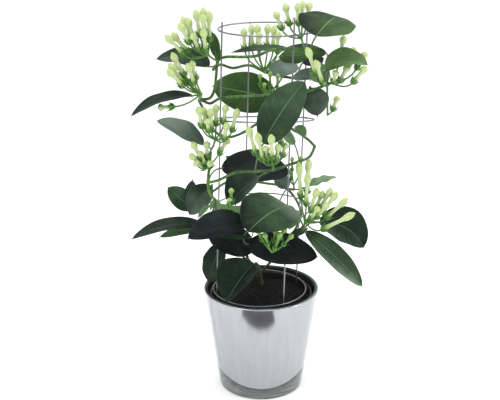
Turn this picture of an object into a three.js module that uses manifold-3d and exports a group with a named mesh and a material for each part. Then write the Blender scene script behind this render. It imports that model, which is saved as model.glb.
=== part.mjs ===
// A potted Madagascar jasmine (Stephanotis) in bud: a vine trained on a wire cage, in a plastic
// nursery pot that stands in a silvered glass cover pot. Millimetres, +Z up. The origin is the
// middle of the glass foot, and the side with most buds faces -Y.
import * as THREE from 'three';
import { mergeVertices } from 'three/addons/utils/BufferGeometryUtils.js';
import Module from 'manifold-3d';

const wasm = await Module();
wasm.setup();

// Cover pot of silvered glass
const potHeight = 128;
const potRimRadius = 70;
const potFootRadius = 51;
const glassWall = 4.5;
const glassFootDepth = 12;
const glassEdge = 1;
const potSides = 36;

// Nursery pot and its soil
const fitGap = 0.3;
const nurseryRimRadius = 62.5;
const nurseryFootRadius = 46.4;
const nurseryTop = 122;
const nurseryBand = 9;
const nurseryWall = 1.2;
const nurseryLip = 1.3;
const nurserySides = 28;
const soilTop = 117;
const soilCrown = 2.5;

// Wire cage
const wireRadius = 1;
const cageRadius = 56.5;
const uprightRadius = cageRadius - 2 * wireRadius - fitGap;
const cageFoot = 106;
const cageBase = { x: -1.8, y: 0, z: 126 };
const cageLean = { x: 8.5 / 313, y: 11.8 / 313 };
const ringSegments = 28;
const wireSides = 4;

// Vine
const stemRadius = 1.8;
const trunkRadius = 2.8;
const petioleRadius = 1;
const peduncleRadius = 1.2;
const pedicelRadius = 0.7;
const bladeThickness = 0.9;
const bladeTipHalfWidth = 0.8;
const stemStep = 15;

const greens = {
  dark: '#34503a',
  deep: '#25382c',
  black: '#1c2724',
  middle: '#426b3c',
  grey: '#4f6a55',
  pale: '#7fa263',
  stem: '#5a8a3c',
  bud: '#bdd58a',
  youngBud: '#83b050',
};

const vec = (p) => new THREE.Vector3(p[0], p[1], p[2]);

const finish = (color, roughness, metalness = 0) =>
  new THREE.MeshStandardMaterial({ color, roughness, metalness, side: THREE.DoubleSide });

function solidFrom(geometry) {
  const bare = geometry.clone();
  bare.deleteAttribute('normal');
  bare.deleteAttribute('uv');
  const merged = mergeVertices(bare, 1e-4);
  const vertProperties = new Float32Array(merged.attributes.position.array);
  const triVerts = new Uint32Array(merged.index.array);
  return new wasm.Manifold(new wasm.Mesh({ numProp: 3, vertProperties, triVerts }));
}

function geometryFrom(solid) {
  const mesh = solid.getMesh();
  const geometry = new THREE.BufferGeometry();
  geometry.setAttribute('position', new THREE.BufferAttribute(mesh.vertProperties, 3));
  geometry.setIndex(new THREE.BufferAttribute(mesh.triVerts, 1));
  geometry.computeVertexNormals();
  return geometry;
}

const fused = (geometries) => geometryFrom(geometries.map(solidFrom).reduce((sum, one) => sum.add(one)));

// Loops of equal length, from a first loop to a last, close into one body
function bodyThrough(loops) {
  const size = loops[0].length;
  const positions = loops.flat().flatMap((p) => [p.x, p.y, p.z]);
  const index = [];
  for (let i = 0; i < loops.length - 1; i += 1) {
    for (let j = 0; j < size; j += 1) {
      const here = i * size + j;
      const beside = i * size + ((j + 1) % size);
      index.push(here, beside + size, beside, here, here + size, beside + size);
    }
  }
  const last = (loops.length - 1) * size;
  for (let j = 1; j < size - 1; j += 1) {
    index.push(0, j, j + 1);
    index.push(last, last + j + 1, last + j);
  }
  const geometry = new THREE.BufferGeometry();
  geometry.setAttribute('position', new THREE.Float32BufferAttribute(positions, 3));
  geometry.setIndex(index);
  return geometry;
}

// A round body along a run of stations, each with its centre, its direction and its radius
function roundBody(stations, sides) {
  let level = new THREE.Vector3(1, 0, 0);
  const loops = stations.map(([centre, along, radius]) => {
    level = level.clone().addScaledVector(along, -level.dot(along)).normalize();
    const up = along.clone().cross(level);
    return [...Array(sides).keys()].map((k) => {
      const angle = (-2 * Math.PI * k) / sides;
      return centre.clone()
        .addScaledVector(level, radius * Math.cos(angle))
        .addScaledVector(up, radius * Math.sin(angle));
    });
  });
  return bodyThrough(loops);
}

function turned(profile, sides) {
  const points = profile.map(([r, z]) => new THREE.Vector2(r, z));
  const geometry = new THREE.LatheGeometry(points, sides);
  geometry.rotateX(Math.PI / 2);
  return geometry;
}

// ---- Pots and soil ----

function glassPot() {
  const slope = (potRimRadius - potFootRadius) / potHeight;
  const outerAt = (z) => potFootRadius + slope * z;
  return turned([
    [0, 0],
    [potFootRadius - glassEdge, 0],
    [outerAt(glassEdge), glassEdge],
    [outerAt(potHeight - glassEdge), potHeight - glassEdge],
    [potRimRadius - glassEdge, potHeight],
    [potRimRadius - glassWall + glassEdge, potHeight],
    [outerAt(potHeight - glassEdge) - glassWall, potHeight - glassEdge],
    [outerAt(glassFootDepth + 2) - glassWall, glassFootDepth + 2],
    [outerAt(glassFootDepth) - glassWall - glassEdge, glassFootDepth],
    [0, glassFootDepth],
  ], potSides);
}

const nurseryFoot = glassFootDepth + fitGap;
const nurseryBandFoot = nurseryTop - nurseryBand;
const nurseryShoulderRadius = nurseryRimRadius - nurseryLip;
const nurserySlope = (nurseryShoulderRadius - nurseryFootRadius) / (nurseryBandFoot - nurseryFoot);
const nurseryInner = (z) => nurseryFootRadius + nurserySlope * (z - nurseryFoot) - nurseryWall;

function nurseryPot() {
  const floor = nurseryFoot + nurseryWall;
  return turned([
    [0, nurseryFoot],
    [nurseryFootRadius, nurseryFoot],
    [nurseryShoulderRadius, nurseryBandFoot],
    [nurseryRimRadius, nurseryBandFoot],
    [nurseryRimRadius, nurseryTop],
    [nurseryInner(nurseryBandFoot), nurseryTop],
    [nurseryInner(nurseryBandFoot), nurseryBandFoot],
    [nurseryInner(floor), floor],
    [0, floor],
  ], nurserySides);
}

// Middle of the leaning cage at a height
function cageCentre(z) {
  const rise = z - cageBase.z;
  return [cageBase.x + cageLean.x * rise, cageBase.y + cageLean.y * rise];
}

function onCage(degreesFromFront, radius, z) {
  const angle = THREE.MathUtils.degToRad(degreesFromFront);
  const [x, y] = cageCentre(z);
  return [x + radius * Math.sin(angle), y - radius * Math.cos(angle), z];
}

// Angle from the front in degrees, and the height of its cut top end
const uprights = [
  { name: 'right_front', angle: 30.6, top: 458 },
  { name: 'right_back', angle: 120.9, top: 450 },
  { name: 'left_back', angle: 202.1, top: 425 },
  { name: 'left_front', angle: 288, top: 449 },
];

function rod(from, to, radius, sides) {
  const along = vec(to).sub(vec(from));
  const geometry = new THREE.CylinderGeometry(radius, radius, along.length(), sides);
  const up = new THREE.Vector3(0, 1, 0);
  const lean = new THREE.Quaternion().setFromUnitVectors(up, along.clone().normalize());
  geometry.applyQuaternion(lean);
  const middle = vec(from).add(vec(to)).multiplyScalar(0.5);
  geometry.translate(middle.x, middle.y, middle.z);
  return geometry;
}

// The trunk enters the soil here, and both shoots rise from its first joint
const trunkPath = [[1, 28, 96], [1, 28, 118], [-2, 25, 131]];

// The uprights and the trunk stand in plain holes in the soil
function soilPlug() {
  const foot = nurseryFoot + nurseryWall + fitGap;
  const shoulder = soilTop - 3;
  const aboveSoil = soilTop + 8;
  const below = 2;
  let plug = solidFrom(turned([
    [0, foot],
    [nurseryInner(foot) - fitGap, foot],
    [nurseryInner(nurseryBandFoot) - fitGap, nurseryBandFoot],
    [nurseryInner(nurseryBandFoot) - fitGap, shoulder],
    [nurseryRimRadius * 0.7, soilTop],
    [nurseryRimRadius * 0.25, soilTop + soilCrown],
    [0, soilTop + soilCrown],
  ], nurserySides));
  const wireHole = wireRadius + 1.4 * fitGap;
  for (const { angle } of uprights) {
    const from = onCage(angle, uprightRadius, cageFoot - below);
    const to = onCage(angle, uprightRadius, aboveSoil);
    plug = plug.subtract(solidFrom(rod(from, to, wireHole, wireSides)));
  }
  const trunkHole = trunkRadius + 2 * fitGap;
  const [x, y, trunkFoot] = trunkPath[0];
  const drill = rod([x, y, trunkFoot - below], [x, y, aboveSoil], trunkHole, 8);
  return geometryFrom(plug.subtract(solidFrom(drill)));
}

// ---- Wire cage ----

const rings = [
  { name: 'lowest', z: 126, radius: cageRadius, tilt: 0 },
  { name: 'lower', z: 228, radius: cageRadius, tilt: 0 },
  { name: 'upper', z: 335, radius: cageRadius + 0.8, tilt: 10 },
  { name: 'top', z: 439, radius: cageRadius, tilt: 0 },
];

function cageRing({ z, radius, tilt }) {
  const geometry = new THREE.TorusGeometry(radius, wireRadius, wireSides, ringSegments);
  geometry.rotateX(THREE.MathUtils.degToRad(-tilt));
  const [x, y] = cageCentre(z);
  geometry.translate(x, y, z);
  return geometry;
}

const cageUpright = ({ angle, top }) =>
  rod(onCage(angle, uprightRadius, cageFoot), onCage(angle, uprightRadius, top), wireRadius, 6);

// ---- Stems ----

// The stem's joints, where leaves and bud clusters grow. Each lies on one of the paths below.
const joints = {
  trunk: [-2, 25, 131],
  low_left: [-17, 9, 163],
  low_front: [2, -38, 204],
  front_turn: [-10, -58, 233],
  front_left: [-27, -54, 241],
  left_bend: [-53, -33, 249],
  left_curve: [-60, -27, 257],
  left_rise: [-62, -24, 268],
  left_middle: [-60, -24, 288],
  left_shoulder: [-58, -28, 308],
  mid_left: [-8, -57, 291],
  mid_front: [12, -58, 293],
  right_turn: [61, -8, 306],
  back_turn: [41, 54, 310],
  back_arch: [18, 65, 318],
  back_middle: [-20, 64, 306],
  left_high: [-70, -22, 365],
  front_high: [9, -55, 377],
  right_shoulder: [51, -39, 378],
  right_high: [72, -32, 384],
  left_top: [-49, -24, 409],
  back_top: [5, 70, 379],
  back_spur: [26, 68, 374],
  back_end: [44, 56, 373],
  top_front: [31, -50, 427],
  crown_right: [50, -38, 418],
  right_low: [48, -57, 224],
  low_back: [32, 61, 234],
  inner_right: [40, 24, 244],
  back_left: [-40, 51, 246],
  side_left: [-60, 26, 240],
};

const stemPaths = [
  // Front shoot, from the trunk up to the left shoulder
  [
    joints.trunk, [-9, 19, 146], joints.low_left, [-14, -14, 184], joints.low_front, [2, -54, 222],
    joints.front_turn, joints.front_left, [-42, -43, 244], joints.left_bend, joints.left_curve,
    joints.left_rise, joints.left_middle, joints.left_shoulder,
  ],
  // Leader that winds once round the cage and crosses the front near the top of the second tier
  [
    joints.left_rise, [-50, -35, 274], [-30, -49, 287], joints.mid_left, joints.mid_front, [27, -54, 297],
    [42, -44, 299], [54, -29, 300], joints.right_turn, [61, 14, 303], [55, 38, 304], joints.back_turn,
    joints.back_arch, [-4, 68, 315], joints.back_middle, [-40, 52, 302], [-57, 32, 316], [-64, 6, 342],
    joints.left_high, [-59, -24, 361], [-47, -35, 369], [-20, -52, 375], joints.front_high, [31, -50, 377],
    joints.right_shoulder, joints.right_high,
  ],
  // Side shoot up the left wire and over the front to the crown
  [
    joints.left_high, [-58, -27, 368], [-53, -27, 378], [-51, -25, 394], joints.left_top, [-41, -35, 415],
    [-20, -51, 418], [-6, -55, 420], [9, -55, 426], joints.top_front, [39, -46, 425], joints.crown_right,
  ],
  // Wavy shoot from the left wire round the back of the top tier
  [
    joints.left_top, [-51, -10, 402], [-56, 14, 392], [-48, 42, 393], [-34, 58, 386], [-14, 70, 387],
    joints.back_top, joints.back_spur, joints.back_end,
  ],
  // Right shoot, from the trunk to the big bud cluster
  [joints.trunk, [5, 18, 144], [14, 6, 160], [30, -26, 190], joints.right_low],
  // Low shoot round the back, and its twig inside the cage
  [
    [14, 6, 160], [30, 16, 178], [50, 46, 206], joints.low_back, [7, 69, 238], [-18, 65, 242],
    joints.back_left, joints.side_left,
  ],
  [joints.low_back, [38, 44, 238], joints.inner_right],
];

// A stem passes through every point of its path, with further stations where two lie far apart
function stem(path, radius) {
  const curve = new THREE.CatmullRomCurve3(path.map(vec));
  const spans = path.length - 1;
  const stations = [];
  for (let i = 0; i < spans; i += 1) {
    const steps = Math.max(1, Math.round(vec(path[i]).distanceTo(vec(path[i + 1])) / stemStep));
    for (let k = 0; k < steps; k += 1) {
      const t = (i + k / steps) / spans;
      stations.push([curve.getPoint(t), curve.getTangent(t), radius]);
    }
  }
  stations.push([curve.getPoint(1), curve.getTangent(1), radius]);
  return roundBody(stations, 5);
}

function vineStems() {
  const swelling = new THREE.SphereGeometry(trunkRadius + 0.9, 7, 5);
  swelling.translate(...joints.trunk);
  return fused([...stemPaths.map((path) => stem(path, stemRadius)), stem(trunkPath, trunkRadius), swelling]);
}

// ---- Leaves ----

// A stalk starts just clear of the stem that it grows from
function stalkStart(joint, toward, radius, clear = stemRadius + fitGap + radius * 0.3) {
  const away = vec(toward).sub(vec(joints[joint])).normalize();
  return vec(joints[joint]).addScaledVector(away, clear);
}

const outline = (t) => Math.pow(Math.sin(Math.PI * Math.pow(t, 0.92)), 0.55);
const bladeStations = [0.04, 0.26, 0.52, 0.76, 0.93, 1];
const petioleStations = [0, 0.5, 0.9];
const slopeStep = 0.03;

// A leaf is a thin closed sheet on a round stalk. Its midrib runs from base to tip and arches
// along the normal, its two halves fold up from the midrib by an angle in degrees, and sweep
// bends the whole blade sideways.
function leaf({ joint, base, tip, width, facing, arch, fold, sweep = 0, clear }) {
  const axis = vec(tip).sub(vec(base));
  const length = axis.length();
  axis.normalize();
  const side = vec(facing).cross(axis).normalize();
  const normal = axis.clone().cross(side);
  const foldAngle = THREE.MathUtils.degToRad(fold);
  const bladePoint = (t, s) => {
    const half = Math.max((width / 2) * outline(t), bladeTipHalfWidth);
    const hump = 4 * t * (1 - t) * length;
    const slope = 4 * sweep * (1 - 2 * t);
    const across = (half * s * Math.cos(foldAngle)) / Math.hypot(1, slope);
    return vec(base)
      .addScaledVector(axis, length * t - across * slope)
      .addScaledVector(side, sweep * hump + across)
      .addScaledVector(normal, arch * hump + half * Math.abs(s) * Math.sin(foldAngle));
  };
  const bladeLoop = (t) => {
    const row = [-1, 0, 1].map((s) => bladePoint(t, s));
    const ahead = Math.min(t + slopeStep, 1);
    const along = bladePoint(ahead, 0).sub(bladePoint(ahead - 2 * slopeStep, 0));
    const over = [[0, 1], [0, 2], [1, 2]].map(([from, to]) => row[to].clone().sub(row[from]));
    const out = over.map((o) => along.clone().cross(o).normalize().multiplyScalar(bladeThickness / 2));
    const upper = row.map((p, k) => p.clone().add(out[k]));
    const lower = row.map((p, k) => p.clone().sub(out[k]));
    return [...upper, ...lower.reverse()];
  };
  const start = stalkStart(joint, base, petioleRadius, clear);
  const end = bladePoint(0, 0);
  const bend = end.clone().addScaledVector(axis, -0.45 * start.distanceTo(end));
  const petiole = new THREE.QuadraticBezierCurve3(start, bend, end);
  const petioleLoop = (share) => {
    const along = petiole.getTangent(share);
    const level = side.clone().addScaledVector(along, -side.dot(along)).normalize();
    const up = along.clone().cross(level);
    const centre = petiole.getPoint(share);
    return [0, 1, 2, 3, 4, 5].map((k) => {
      const angle = Math.PI - ((k + 0.5) * Math.PI) / 3;
      return centre.clone()
        .addScaledVector(level, petioleRadius * Math.cos(angle))
        .addScaledVector(up, petioleRadius * Math.sin(angle));
    });
  };
  return bodyThrough([...petioleStations.map(petioleLoop), ...bladeStations.map(bladeLoop)]);
}

const leaves = [
  {
    name: 'crown_right_broad', joint: 'crown_right', colour: greens.dark,
    base: [57, -56, 441], tip: [83, -14, 458], width: 66, facing: [0, -0.4, 0.92],
    arch: 0.05, fold: 6, sweep: 0, clear: 2.9,
  },
  {
    name: 'crown_right_hood', joint: 'right_high', colour: greens.middle,
    base: [70, -46, 402], tip: [115, -36, 408], width: 36, facing: [-0.12, -0.54, 0.84],
    arch: 0.03, fold: 34, sweep: 0.14,
  },
  {
    name: 'right_round', joint: 'right_shoulder', colour: greens.deep,
    base: [54, -30, 380], tip: [61, -44, 352], width: 33, facing: [0.1, -0.85, 0.5],
    arch: 0.12, fold: 14, clear: 3.0,
  },
  {
    name: 'front_long', joint: 'mid_left', colour: greens.dark,
    base: [1, -67, 326], tip: [45, -58, 392], width: 45, facing: [-0.35, -0.9, 0.3],
    arch: 0.1, fold: 14,
  },
  {
    name: 'left_grey', joint: 'left_shoulder', colour: greens.grey,
    base: [-66, -18, 313], tip: [-117, -38, 344], width: 32, facing: [0.24, -0.57, 0.78],
    arch: 0.05, fold: 30, sweep: 0.05,
  },
  {
    name: 'left_upper_long', joint: 'left_high', colour: greens.deep,
    base: [-77, -30, 371], tip: [-145, -46, 355], width: 35, facing: [-0.1, -0.12, 1],
    arch: 0.065, fold: 8,
  },
  {
    name: 'crown_left', joint: 'left_top', colour: greens.deep,
    base: [-59, -27, 403], tip: [-118, -8, 410], width: 36, facing: [0.05, -0.4, 0.9],
    arch: 0.05, fold: 14, sweep: -0.06, clear: 3.1,
  },
  {
    name: 'back_broad', joint: 'back_arch', colour: greens.middle,
    base: [19, 76, 345], tip: [-58, 72, 361], width: 50, facing: [0, -0.95, 0.3],
    arch: 0.05, fold: 6,
  },
  {
    name: 'crown_back_edge', joint: 'back_top', colour: greens.black,
    base: [27, 68, 406], tip: [73, 62, 407], width: 21, facing: [0, -0.2, 0.98],
    arch: 0.08, fold: 4,
  },
  {
    name: 'crown_front_edge', joint: 'top_front', colour: greens.dark,
    base: [30, -42, 425], tip: [-33, -34, 420], width: 14, facing: [0.05, -0.36, 0.93],
    arch: 0.05, fold: 6, clear: 2.7,
  },
  {
    name: 'inner_grey', joint: 'back_spur', colour: greens.grey,
    base: [8, 46, 385], tip: [44, 42, 389], width: 34, facing: [0, -0.5, 0.87],
    arch: 0.1, fold: 8, clear: 3.3,
  },
  {
    name: 'inner_green', joint: 'crown_right', colour: greens.middle,
    base: [51, -20, 413], tip: [19, -10, 411], width: 22, facing: [0, -0.75, 0.65],
    arch: 0.08, fold: 12, clear: 1.6,
  },
  {
    name: 'inner_dark', joint: 'back_end', colour: greens.black,
    base: [47, 14, 400], tip: [71, 22, 404], width: 24, facing: [0.1, -0.6, 0.8],
    arch: 0.1, fold: 6,
  },
  {
    name: 'right_pale', joint: 'right_high', colour: greens.pale,
    base: [75, 2, 397], tip: [56, -4, 384], width: 26, facing: [0, -0.85, 0.5],
    arch: 0.08, fold: 8,
  },
  {
    name: 'middle_black', joint: 'left_rise', colour: greens.black,
    base: [-47, 4, 277], tip: [33, 16, 269], width: 50, facing: [0, -0.55, 0.83],
    arch: 0.08, fold: 6,
  },
  {
    name: 'front_hanging', joint: 'mid_front', colour: greens.deep,
    base: [-3, -31, 277], tip: [-38, -24, 242], width: 50, facing: [-0.4, -0.63, 0.62],
    arch: 0.05, fold: 36, clear: 3.0,
  },
  {
    name: 'front_broad', joint: 'right_low', colour: greens.dark,
    base: [30, -52, 249], tip: [-15, -104, 238], width: 72, facing: [-0.04, -0.5, 0.87],
    arch: 0.1, fold: 8,
  },
  {
    name: 'low_left_front', joint: 'front_turn', colour: greens.black,
    base: [-17, -66, 233], tip: [-82, -84, 223], width: 44, facing: [-0.13, -0.6, 0.78],
    arch: 0.04, fold: 34,
  },
  {
    name: 'low_left_long', joint: 'left_bend', colour: greens.deep,
    base: [-65, -24, 215], tip: [-151, -34, 205], width: 36, facing: [0, -0.1, 1],
    arch: 0.09, fold: 8,
  },
  {
    name: 'left_folded_front', joint: 'side_left', colour: greens.deep,
    base: [-60, 6, 255], tip: [-85, -6, 223], width: 32, facing: [-0.15, -0.85, 0.5],
    arch: 0.1, fold: 20, clear: 2.2,
  },
  {
    name: 'left_folded_back', joint: 'side_left', colour: greens.dark,
    base: [-84, 16, 221], tip: [-112, 22, 247], width: 26, facing: [0.1, -0.85, 0.5],
    arch: 0.06, fold: 16, clear: 3.2,
  },
  {
    name: 'rim_left', joint: 'low_left', colour: greens.deep,
    base: [-46, 6, 182], tip: [-64, 8, 130], width: 30, facing: [-0.45, -0.85, 0.3],
    arch: 0.1, fold: 10, clear: 2.6,
  },
  {
    name: 'soil_front', joint: 'trunk', colour: greens.deep,
    base: [-8, -20, 166], tip: [-40, -60, 134], width: 64, facing: [-0.45, -0.68, 0.57],
    arch: 0.08, fold: 37, clear: 4.8,
  },
  {
    name: 'bottom_left_dark', joint: 'low_front', colour: greens.black,
    base: [-8, -48, 198], tip: [-60, -56, 211], width: 42, facing: [0, -0.6, 0.8],
    arch: 0.06, fold: 5,
  },
  {
    name: 'bottom_right_dark', joint: 'front_turn', colour: greens.black,
    base: [-17, -56, 204], tip: [62, -72, 195], width: 40, facing: [0.05, -0.7, 0.7],
    arch: 0.06, fold: 5,
  },
  {
    name: 'right_drooping', joint: 'right_low', colour: greens.dark,
    base: [49, -68, 224], tip: [113, -90, 168], width: 26, facing: [-0.15, -0.55, 0.8],
    arch: 0.06, fold: 16,
  },
  {
    name: 'right_low_broad', joint: 'right_low', colour: greens.deep,
    base: [67, -32, 222], tip: [119, -38, 194], width: 50, facing: [0.2, -0.75, 0.63],
    arch: 0.1, fold: 25, sweep: 0.12, clear: 2.7,
  },
  {
    name: 'right_thin', joint: 'inner_right', colour: greens.pale,
    base: [53, 14, 250], tip: [90, 24, 260], width: 22, facing: [0.1, -0.02, 1],
    arch: 0.04, fold: 10,
  },
  {
    name: 'back_small', joint: 'inner_right', colour: greens.grey,
    base: [33, 28, 245], tip: [17, 36, 258], width: 20, facing: [0.2, -0.8, 0.6],
    arch: 0.06, fold: 8, clear: 2.7,
  },
  {
    name: 'back_upper', joint: 'back_end', colour: greens.dark,
    base: [38, 88, 350], tip: [25, 134, 322], width: 44, facing: [0, 0.5, 0.86],
    arch: 0.1, fold: 10, clear: 2.7,
  },
  {
    name: 'back_middle', joint: 'back_left', colour: greens.deep,
    base: [-18, 84, 266], tip: [-27, 128, 240], width: 46, facing: [0, 0.5, 0.86],
    arch: 0.1, fold: 10, clear: 3.6,
  },
  {
    name: 'back_low_left', joint: 'back_left', colour: greens.dark,
    base: [-32, 80, 204], tip: [-46, 128, 168], width: 48, facing: [0, 0.5, 0.86],
    arch: 0.1, fold: 8, clear: 2.8,
  },
  {
    name: 'back_low_right', joint: 'low_back', colour: greens.deep,
    base: [20, 88, 192], tip: [40, 132, 154], width: 48, facing: [0, 0.5, 0.86],
    arch: 0.12, fold: 10, clear: 2.7,
  },
];

// ---- Bud clusters ----

// Radius in millimetres against the share of the bud's length: calyx, tube, swollen head, point
const budProfile = [[2.8, 0.08], [2.1, 0.5], [3.8, 0.78], [3, 0.9], [0.4, 1]];
const budSides = 5;

// The hub carries thin stalks, and each ends in a bud. A bud is given by its tip, measured from
// the hub, and its length. rise turns the buds upright: 0 points them away from the hub, 1 up.
function stalkedBud(hub, [dx, dy, dz, length], rise, girth) {
  const offset = new THREE.Vector3(dx, dy, dz);
  const direction = offset.clone().normalize().lerp(new THREE.Vector3(0, 0, 1), rise).normalize();
  const tip = hub.clone().add(offset);
  const budLength = Math.min(length, offset.length() * 0.85);
  const foot = tip.clone().addScaledVector(direction, -budLength);
  const bend = foot.clone().addScaledVector(direction, -foot.distanceTo(hub) * 0.45);
  const pedicel = new THREE.QuadraticBezierCurve3(hub, bend, foot);
  const stations = [0, 0.8].map((share) => [
    pedicel.getPoint(share), pedicel.getTangent(share), pedicelRadius,
  ]);
  for (const [radius, share] of budProfile) {
    const centre = foot.clone().addScaledVector(direction, share * budLength);
    stations.push([centre, direction, radius * girth]);
  }
  return roundBody(stations, budSides);
}

function budCluster({ joint, hub, rise, girth = 1, clear, buds }) {
  const middle = vec(hub);
  const start = stalkStart(joint, hub, peduncleRadius, clear);
  const along = middle.clone().sub(start).normalize();
  const peduncle = roundBody([start, middle].map((centre) => [centre, along, peduncleRadius]), 4);
  const knob = new THREE.OctahedronGeometry(peduncleRadius * 1.7);
  knob.translate(...hub);
  const stalks = buds.map((bud) => stalkedBud(middle, bud, rise, girth));
  return fused([peduncle, knob, ...stalks]);
}

const clusters = [
  {
    name: 'crown_left', joint: 'left_top', hub: [-59, -38, 418], rise: 0.35,
    buds: [
      [-45, -14, 24, 30], [-39, -4, 25, 29], [-28, 4, 41, 27], [-22, -10, 42, 29],
      [-30, -16, 37, 26], [-13, -6, 50, 30], [-5, 4, 51, 31], [2, -4, 48, 33],
      [-5, -16, 47, 26], [-4, -24, 32, 28], [-16, -22, 27, 22],
    ],
  },
  {
    name: 'left_upper', joint: 'left_high', hub: [-67, -44, 376], rise: 0.2,
    buds: [
      [-31, -6, 47, 30], [-29, 4, 36, 30], [-34, -12, 36, 29], [-35, -20, 31, 28],
      [-14, -16, 37, 27], [-10, -4, 38, 22], [-49, 4, -16, 18],
    ],
  },
  {
    name: 'crown_centre', joint: 'back_top', hub: [3, 34, 388], rise: 0.85,
    buds: [
      [-24, -6, 50, 26], [-15, 4, 53, 29], [-8, -6, 54, 28], [-6, -14, 47, 22],
      [4, 6, 53, 28], [11, -4, 53, 29], [16, -10, 47, 25],
    ],
  },
  {
    name: 'crown_right', joint: 'crown_right', hub: [44, -4, 431], rise: 0.5, clear: 3.2,
    buds: [
      [-30, -10, 31, 22], [-19, -2, 39, 25], [-5, -6, 40, 25], [1, 4, 41, 24],
      [9, 8, 39, 24],
    ],
  },
  {
    name: 'right_outer', joint: 'right_high', hub: [76, -38, 387], rise: 0.4,
    buds: [
      [-29, -20, 43, 34], [-20, -24, 30, 32], [14, 18, 50, 26], [26, 18, 37, 24],
      [39, 16, 32, 22], [38, -2, 19, 24], [4, -10, 16, 22], [18, 0, 20, 21],
    ],
  },
  {
    name: 'inner_green', joint: 'back_spur', hub: [10, 24, 365], rise: 0.9, girth: 0.65, clear: 2.8,
    buds: [
      [-12, -4, 22, 16], [0, 4, 23, 18], [9, 0, 21, 18], [-7, -8, 12, 12],
    ],
  },
  {
    name: 'left_middle', joint: 'left_shoulder', hub: [-52, -50, 326], rise: 0.6, clear: 1.7,
    buds: [
      [-18, -10, 40, 25], [-13, 2, 37, 25], [-5, -6, 37, 27], [1, 6, 39, 24],
      [12, 4, 39, 22], [25, 2, 35, 27], [-8, -18, 28, 16], [14, -14, 23, 22],
    ],
  },
  {
    name: 'left_lower', joint: 'left_middle', hub: [-61, -46, 292], rise: 0.1, clear: 2.8,
    buds: [
      [-20, -6, 18, 26], [-15, -10, 10, 20], [-9, -4, 21, 20], [-17, -2, 31, 24],
      [4, -14, 10, 12], [-1, 6, 30, 20], [24, 12, 32, 22],
    ],
  },
  {
    name: 'front_middle', joint: 'mid_front', hub: [12, -72, 303], rise: 0.5,
    buds: [
      [-28, -8, 46, 34], [-18, -16, 41, 34], [-3, -20, 40, 30], [5, -12, 27, 20],
      [-9, -12, 25, 18], [14, 4, 24, 16], [11, 2, 41, 20],
    ],
  },
  {
    name: 'right_big', joint: 'right_low', hub: [48, -65, 234], rise: 0.25,
    buds: [
      [-8, 4, 70, 42], [4, 14, 71, 40], [2, -6, 61, 40], [13, -4, 42, 30],
      [21, 10, 34, 24], [30, 8, 38, 28], [36, 2, 35, 30], [48, 4, 27, 34],
      [55, -14, 16, 44], [26, -4, 25, 24], [15, -6, 21, 20],
    ],
  },
  {
    name: 'under_broad', joint: 'front_turn', hub: [11, -88, 207], rise: 0.15, girth: 0.75, clear: 2.8,
    buds: [
      [-17, -6, 29, 16], [-9, -12, 27, 18], [9, -8, 27, 24], [23, -2, 22, 18],
      [4, 2, 27, 16], [14, 0, 28, 14],
    ],
  },
  {
    name: 'stem_pair', joint: 'front_left', hub: [-36, -79, 258], rise: 0.9, girth: 0.8,
    buds: [
      [2, 0, 21, 17], [0, -6, 11, 10],
    ],
  },
  {
    name: 'right_single', joint: 'right_high', hub: [75, -12, 345], rise: 0.3,
    buds: [
      [11, 0, 22, 18],
    ],
  },
  {
    name: 'back_tall', joint: 'inner_right', hub: [39, 18, 252], rise: 0.8, girth: 0.6, clear: 1.9,
    buds: [
      [-2, 6, 34, 18], [9, 10, 34, 16], [-4, 6, 18, 14],
    ],
  },
];

// ---- Assembly ----

const plant = new THREE.Group();

function add(name, geometry, material) {
  const mesh = new THREE.Mesh(geometry, material);
  mesh.name = name;
  plant.add(mesh);
}

add('glass_cover_pot', glassPot(), finish('#c5c8cc', 0.08, 0.9));
add('nursery_pot', nurseryPot(), finish('#3a2a22', 0.6));
add('potting_soil', soilPlug(), finish('#2a211c', 1));
for (const ring of rings) {
  add(`cage_ring_${ring.name}`, cageRing(ring), finish('#9a9ca0', 0.35, 0.9));
}
for (const upright of uprights) {
  add(`cage_upright_${upright.name}`, cageUpright(upright), finish('#9a9ca0', 0.35, 0.9));
}
add('vine_stems', vineStems(), finish(greens.stem, 0.6));
for (const place of leaves) {
  add(`leaf_${place.name}`, leaf(place), finish(place.colour, 0.4));
}
for (const cluster of clusters) {
  const colour = cluster.girth < 1 ? greens.youngBud : greens.bud;
  add(`buds_${cluster.name}`, budCluster(cluster), finish(colour, 0.5));
}

export default plant;
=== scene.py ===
# A potted Madagascar jasmine in bud, trained round a wire cage and standing in a silvered glass
# cover pot. Metres, +Z up, with the origin in the middle of the glass foot.
import math

import bpy
from mathutils import Matrix, Vector


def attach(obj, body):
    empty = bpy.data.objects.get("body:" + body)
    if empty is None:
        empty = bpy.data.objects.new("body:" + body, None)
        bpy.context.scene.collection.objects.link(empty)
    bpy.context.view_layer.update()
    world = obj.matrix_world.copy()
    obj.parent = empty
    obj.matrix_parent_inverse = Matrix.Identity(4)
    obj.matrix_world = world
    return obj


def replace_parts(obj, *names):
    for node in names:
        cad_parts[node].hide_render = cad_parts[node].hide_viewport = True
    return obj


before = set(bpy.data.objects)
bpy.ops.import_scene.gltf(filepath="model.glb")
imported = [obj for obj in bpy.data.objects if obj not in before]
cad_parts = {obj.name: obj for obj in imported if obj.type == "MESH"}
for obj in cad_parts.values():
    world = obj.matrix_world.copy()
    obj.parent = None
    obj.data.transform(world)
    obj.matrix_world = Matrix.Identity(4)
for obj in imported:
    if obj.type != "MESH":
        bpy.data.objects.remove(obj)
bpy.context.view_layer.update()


# ---- Studio ----
# A pale floor that runs out of sight, a white room round it, and soft boxes to the left, above
# and to the right. A grey card lies low in front, where only the pot's silver can see it.

CAMERA_DIP = 18.3

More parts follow.
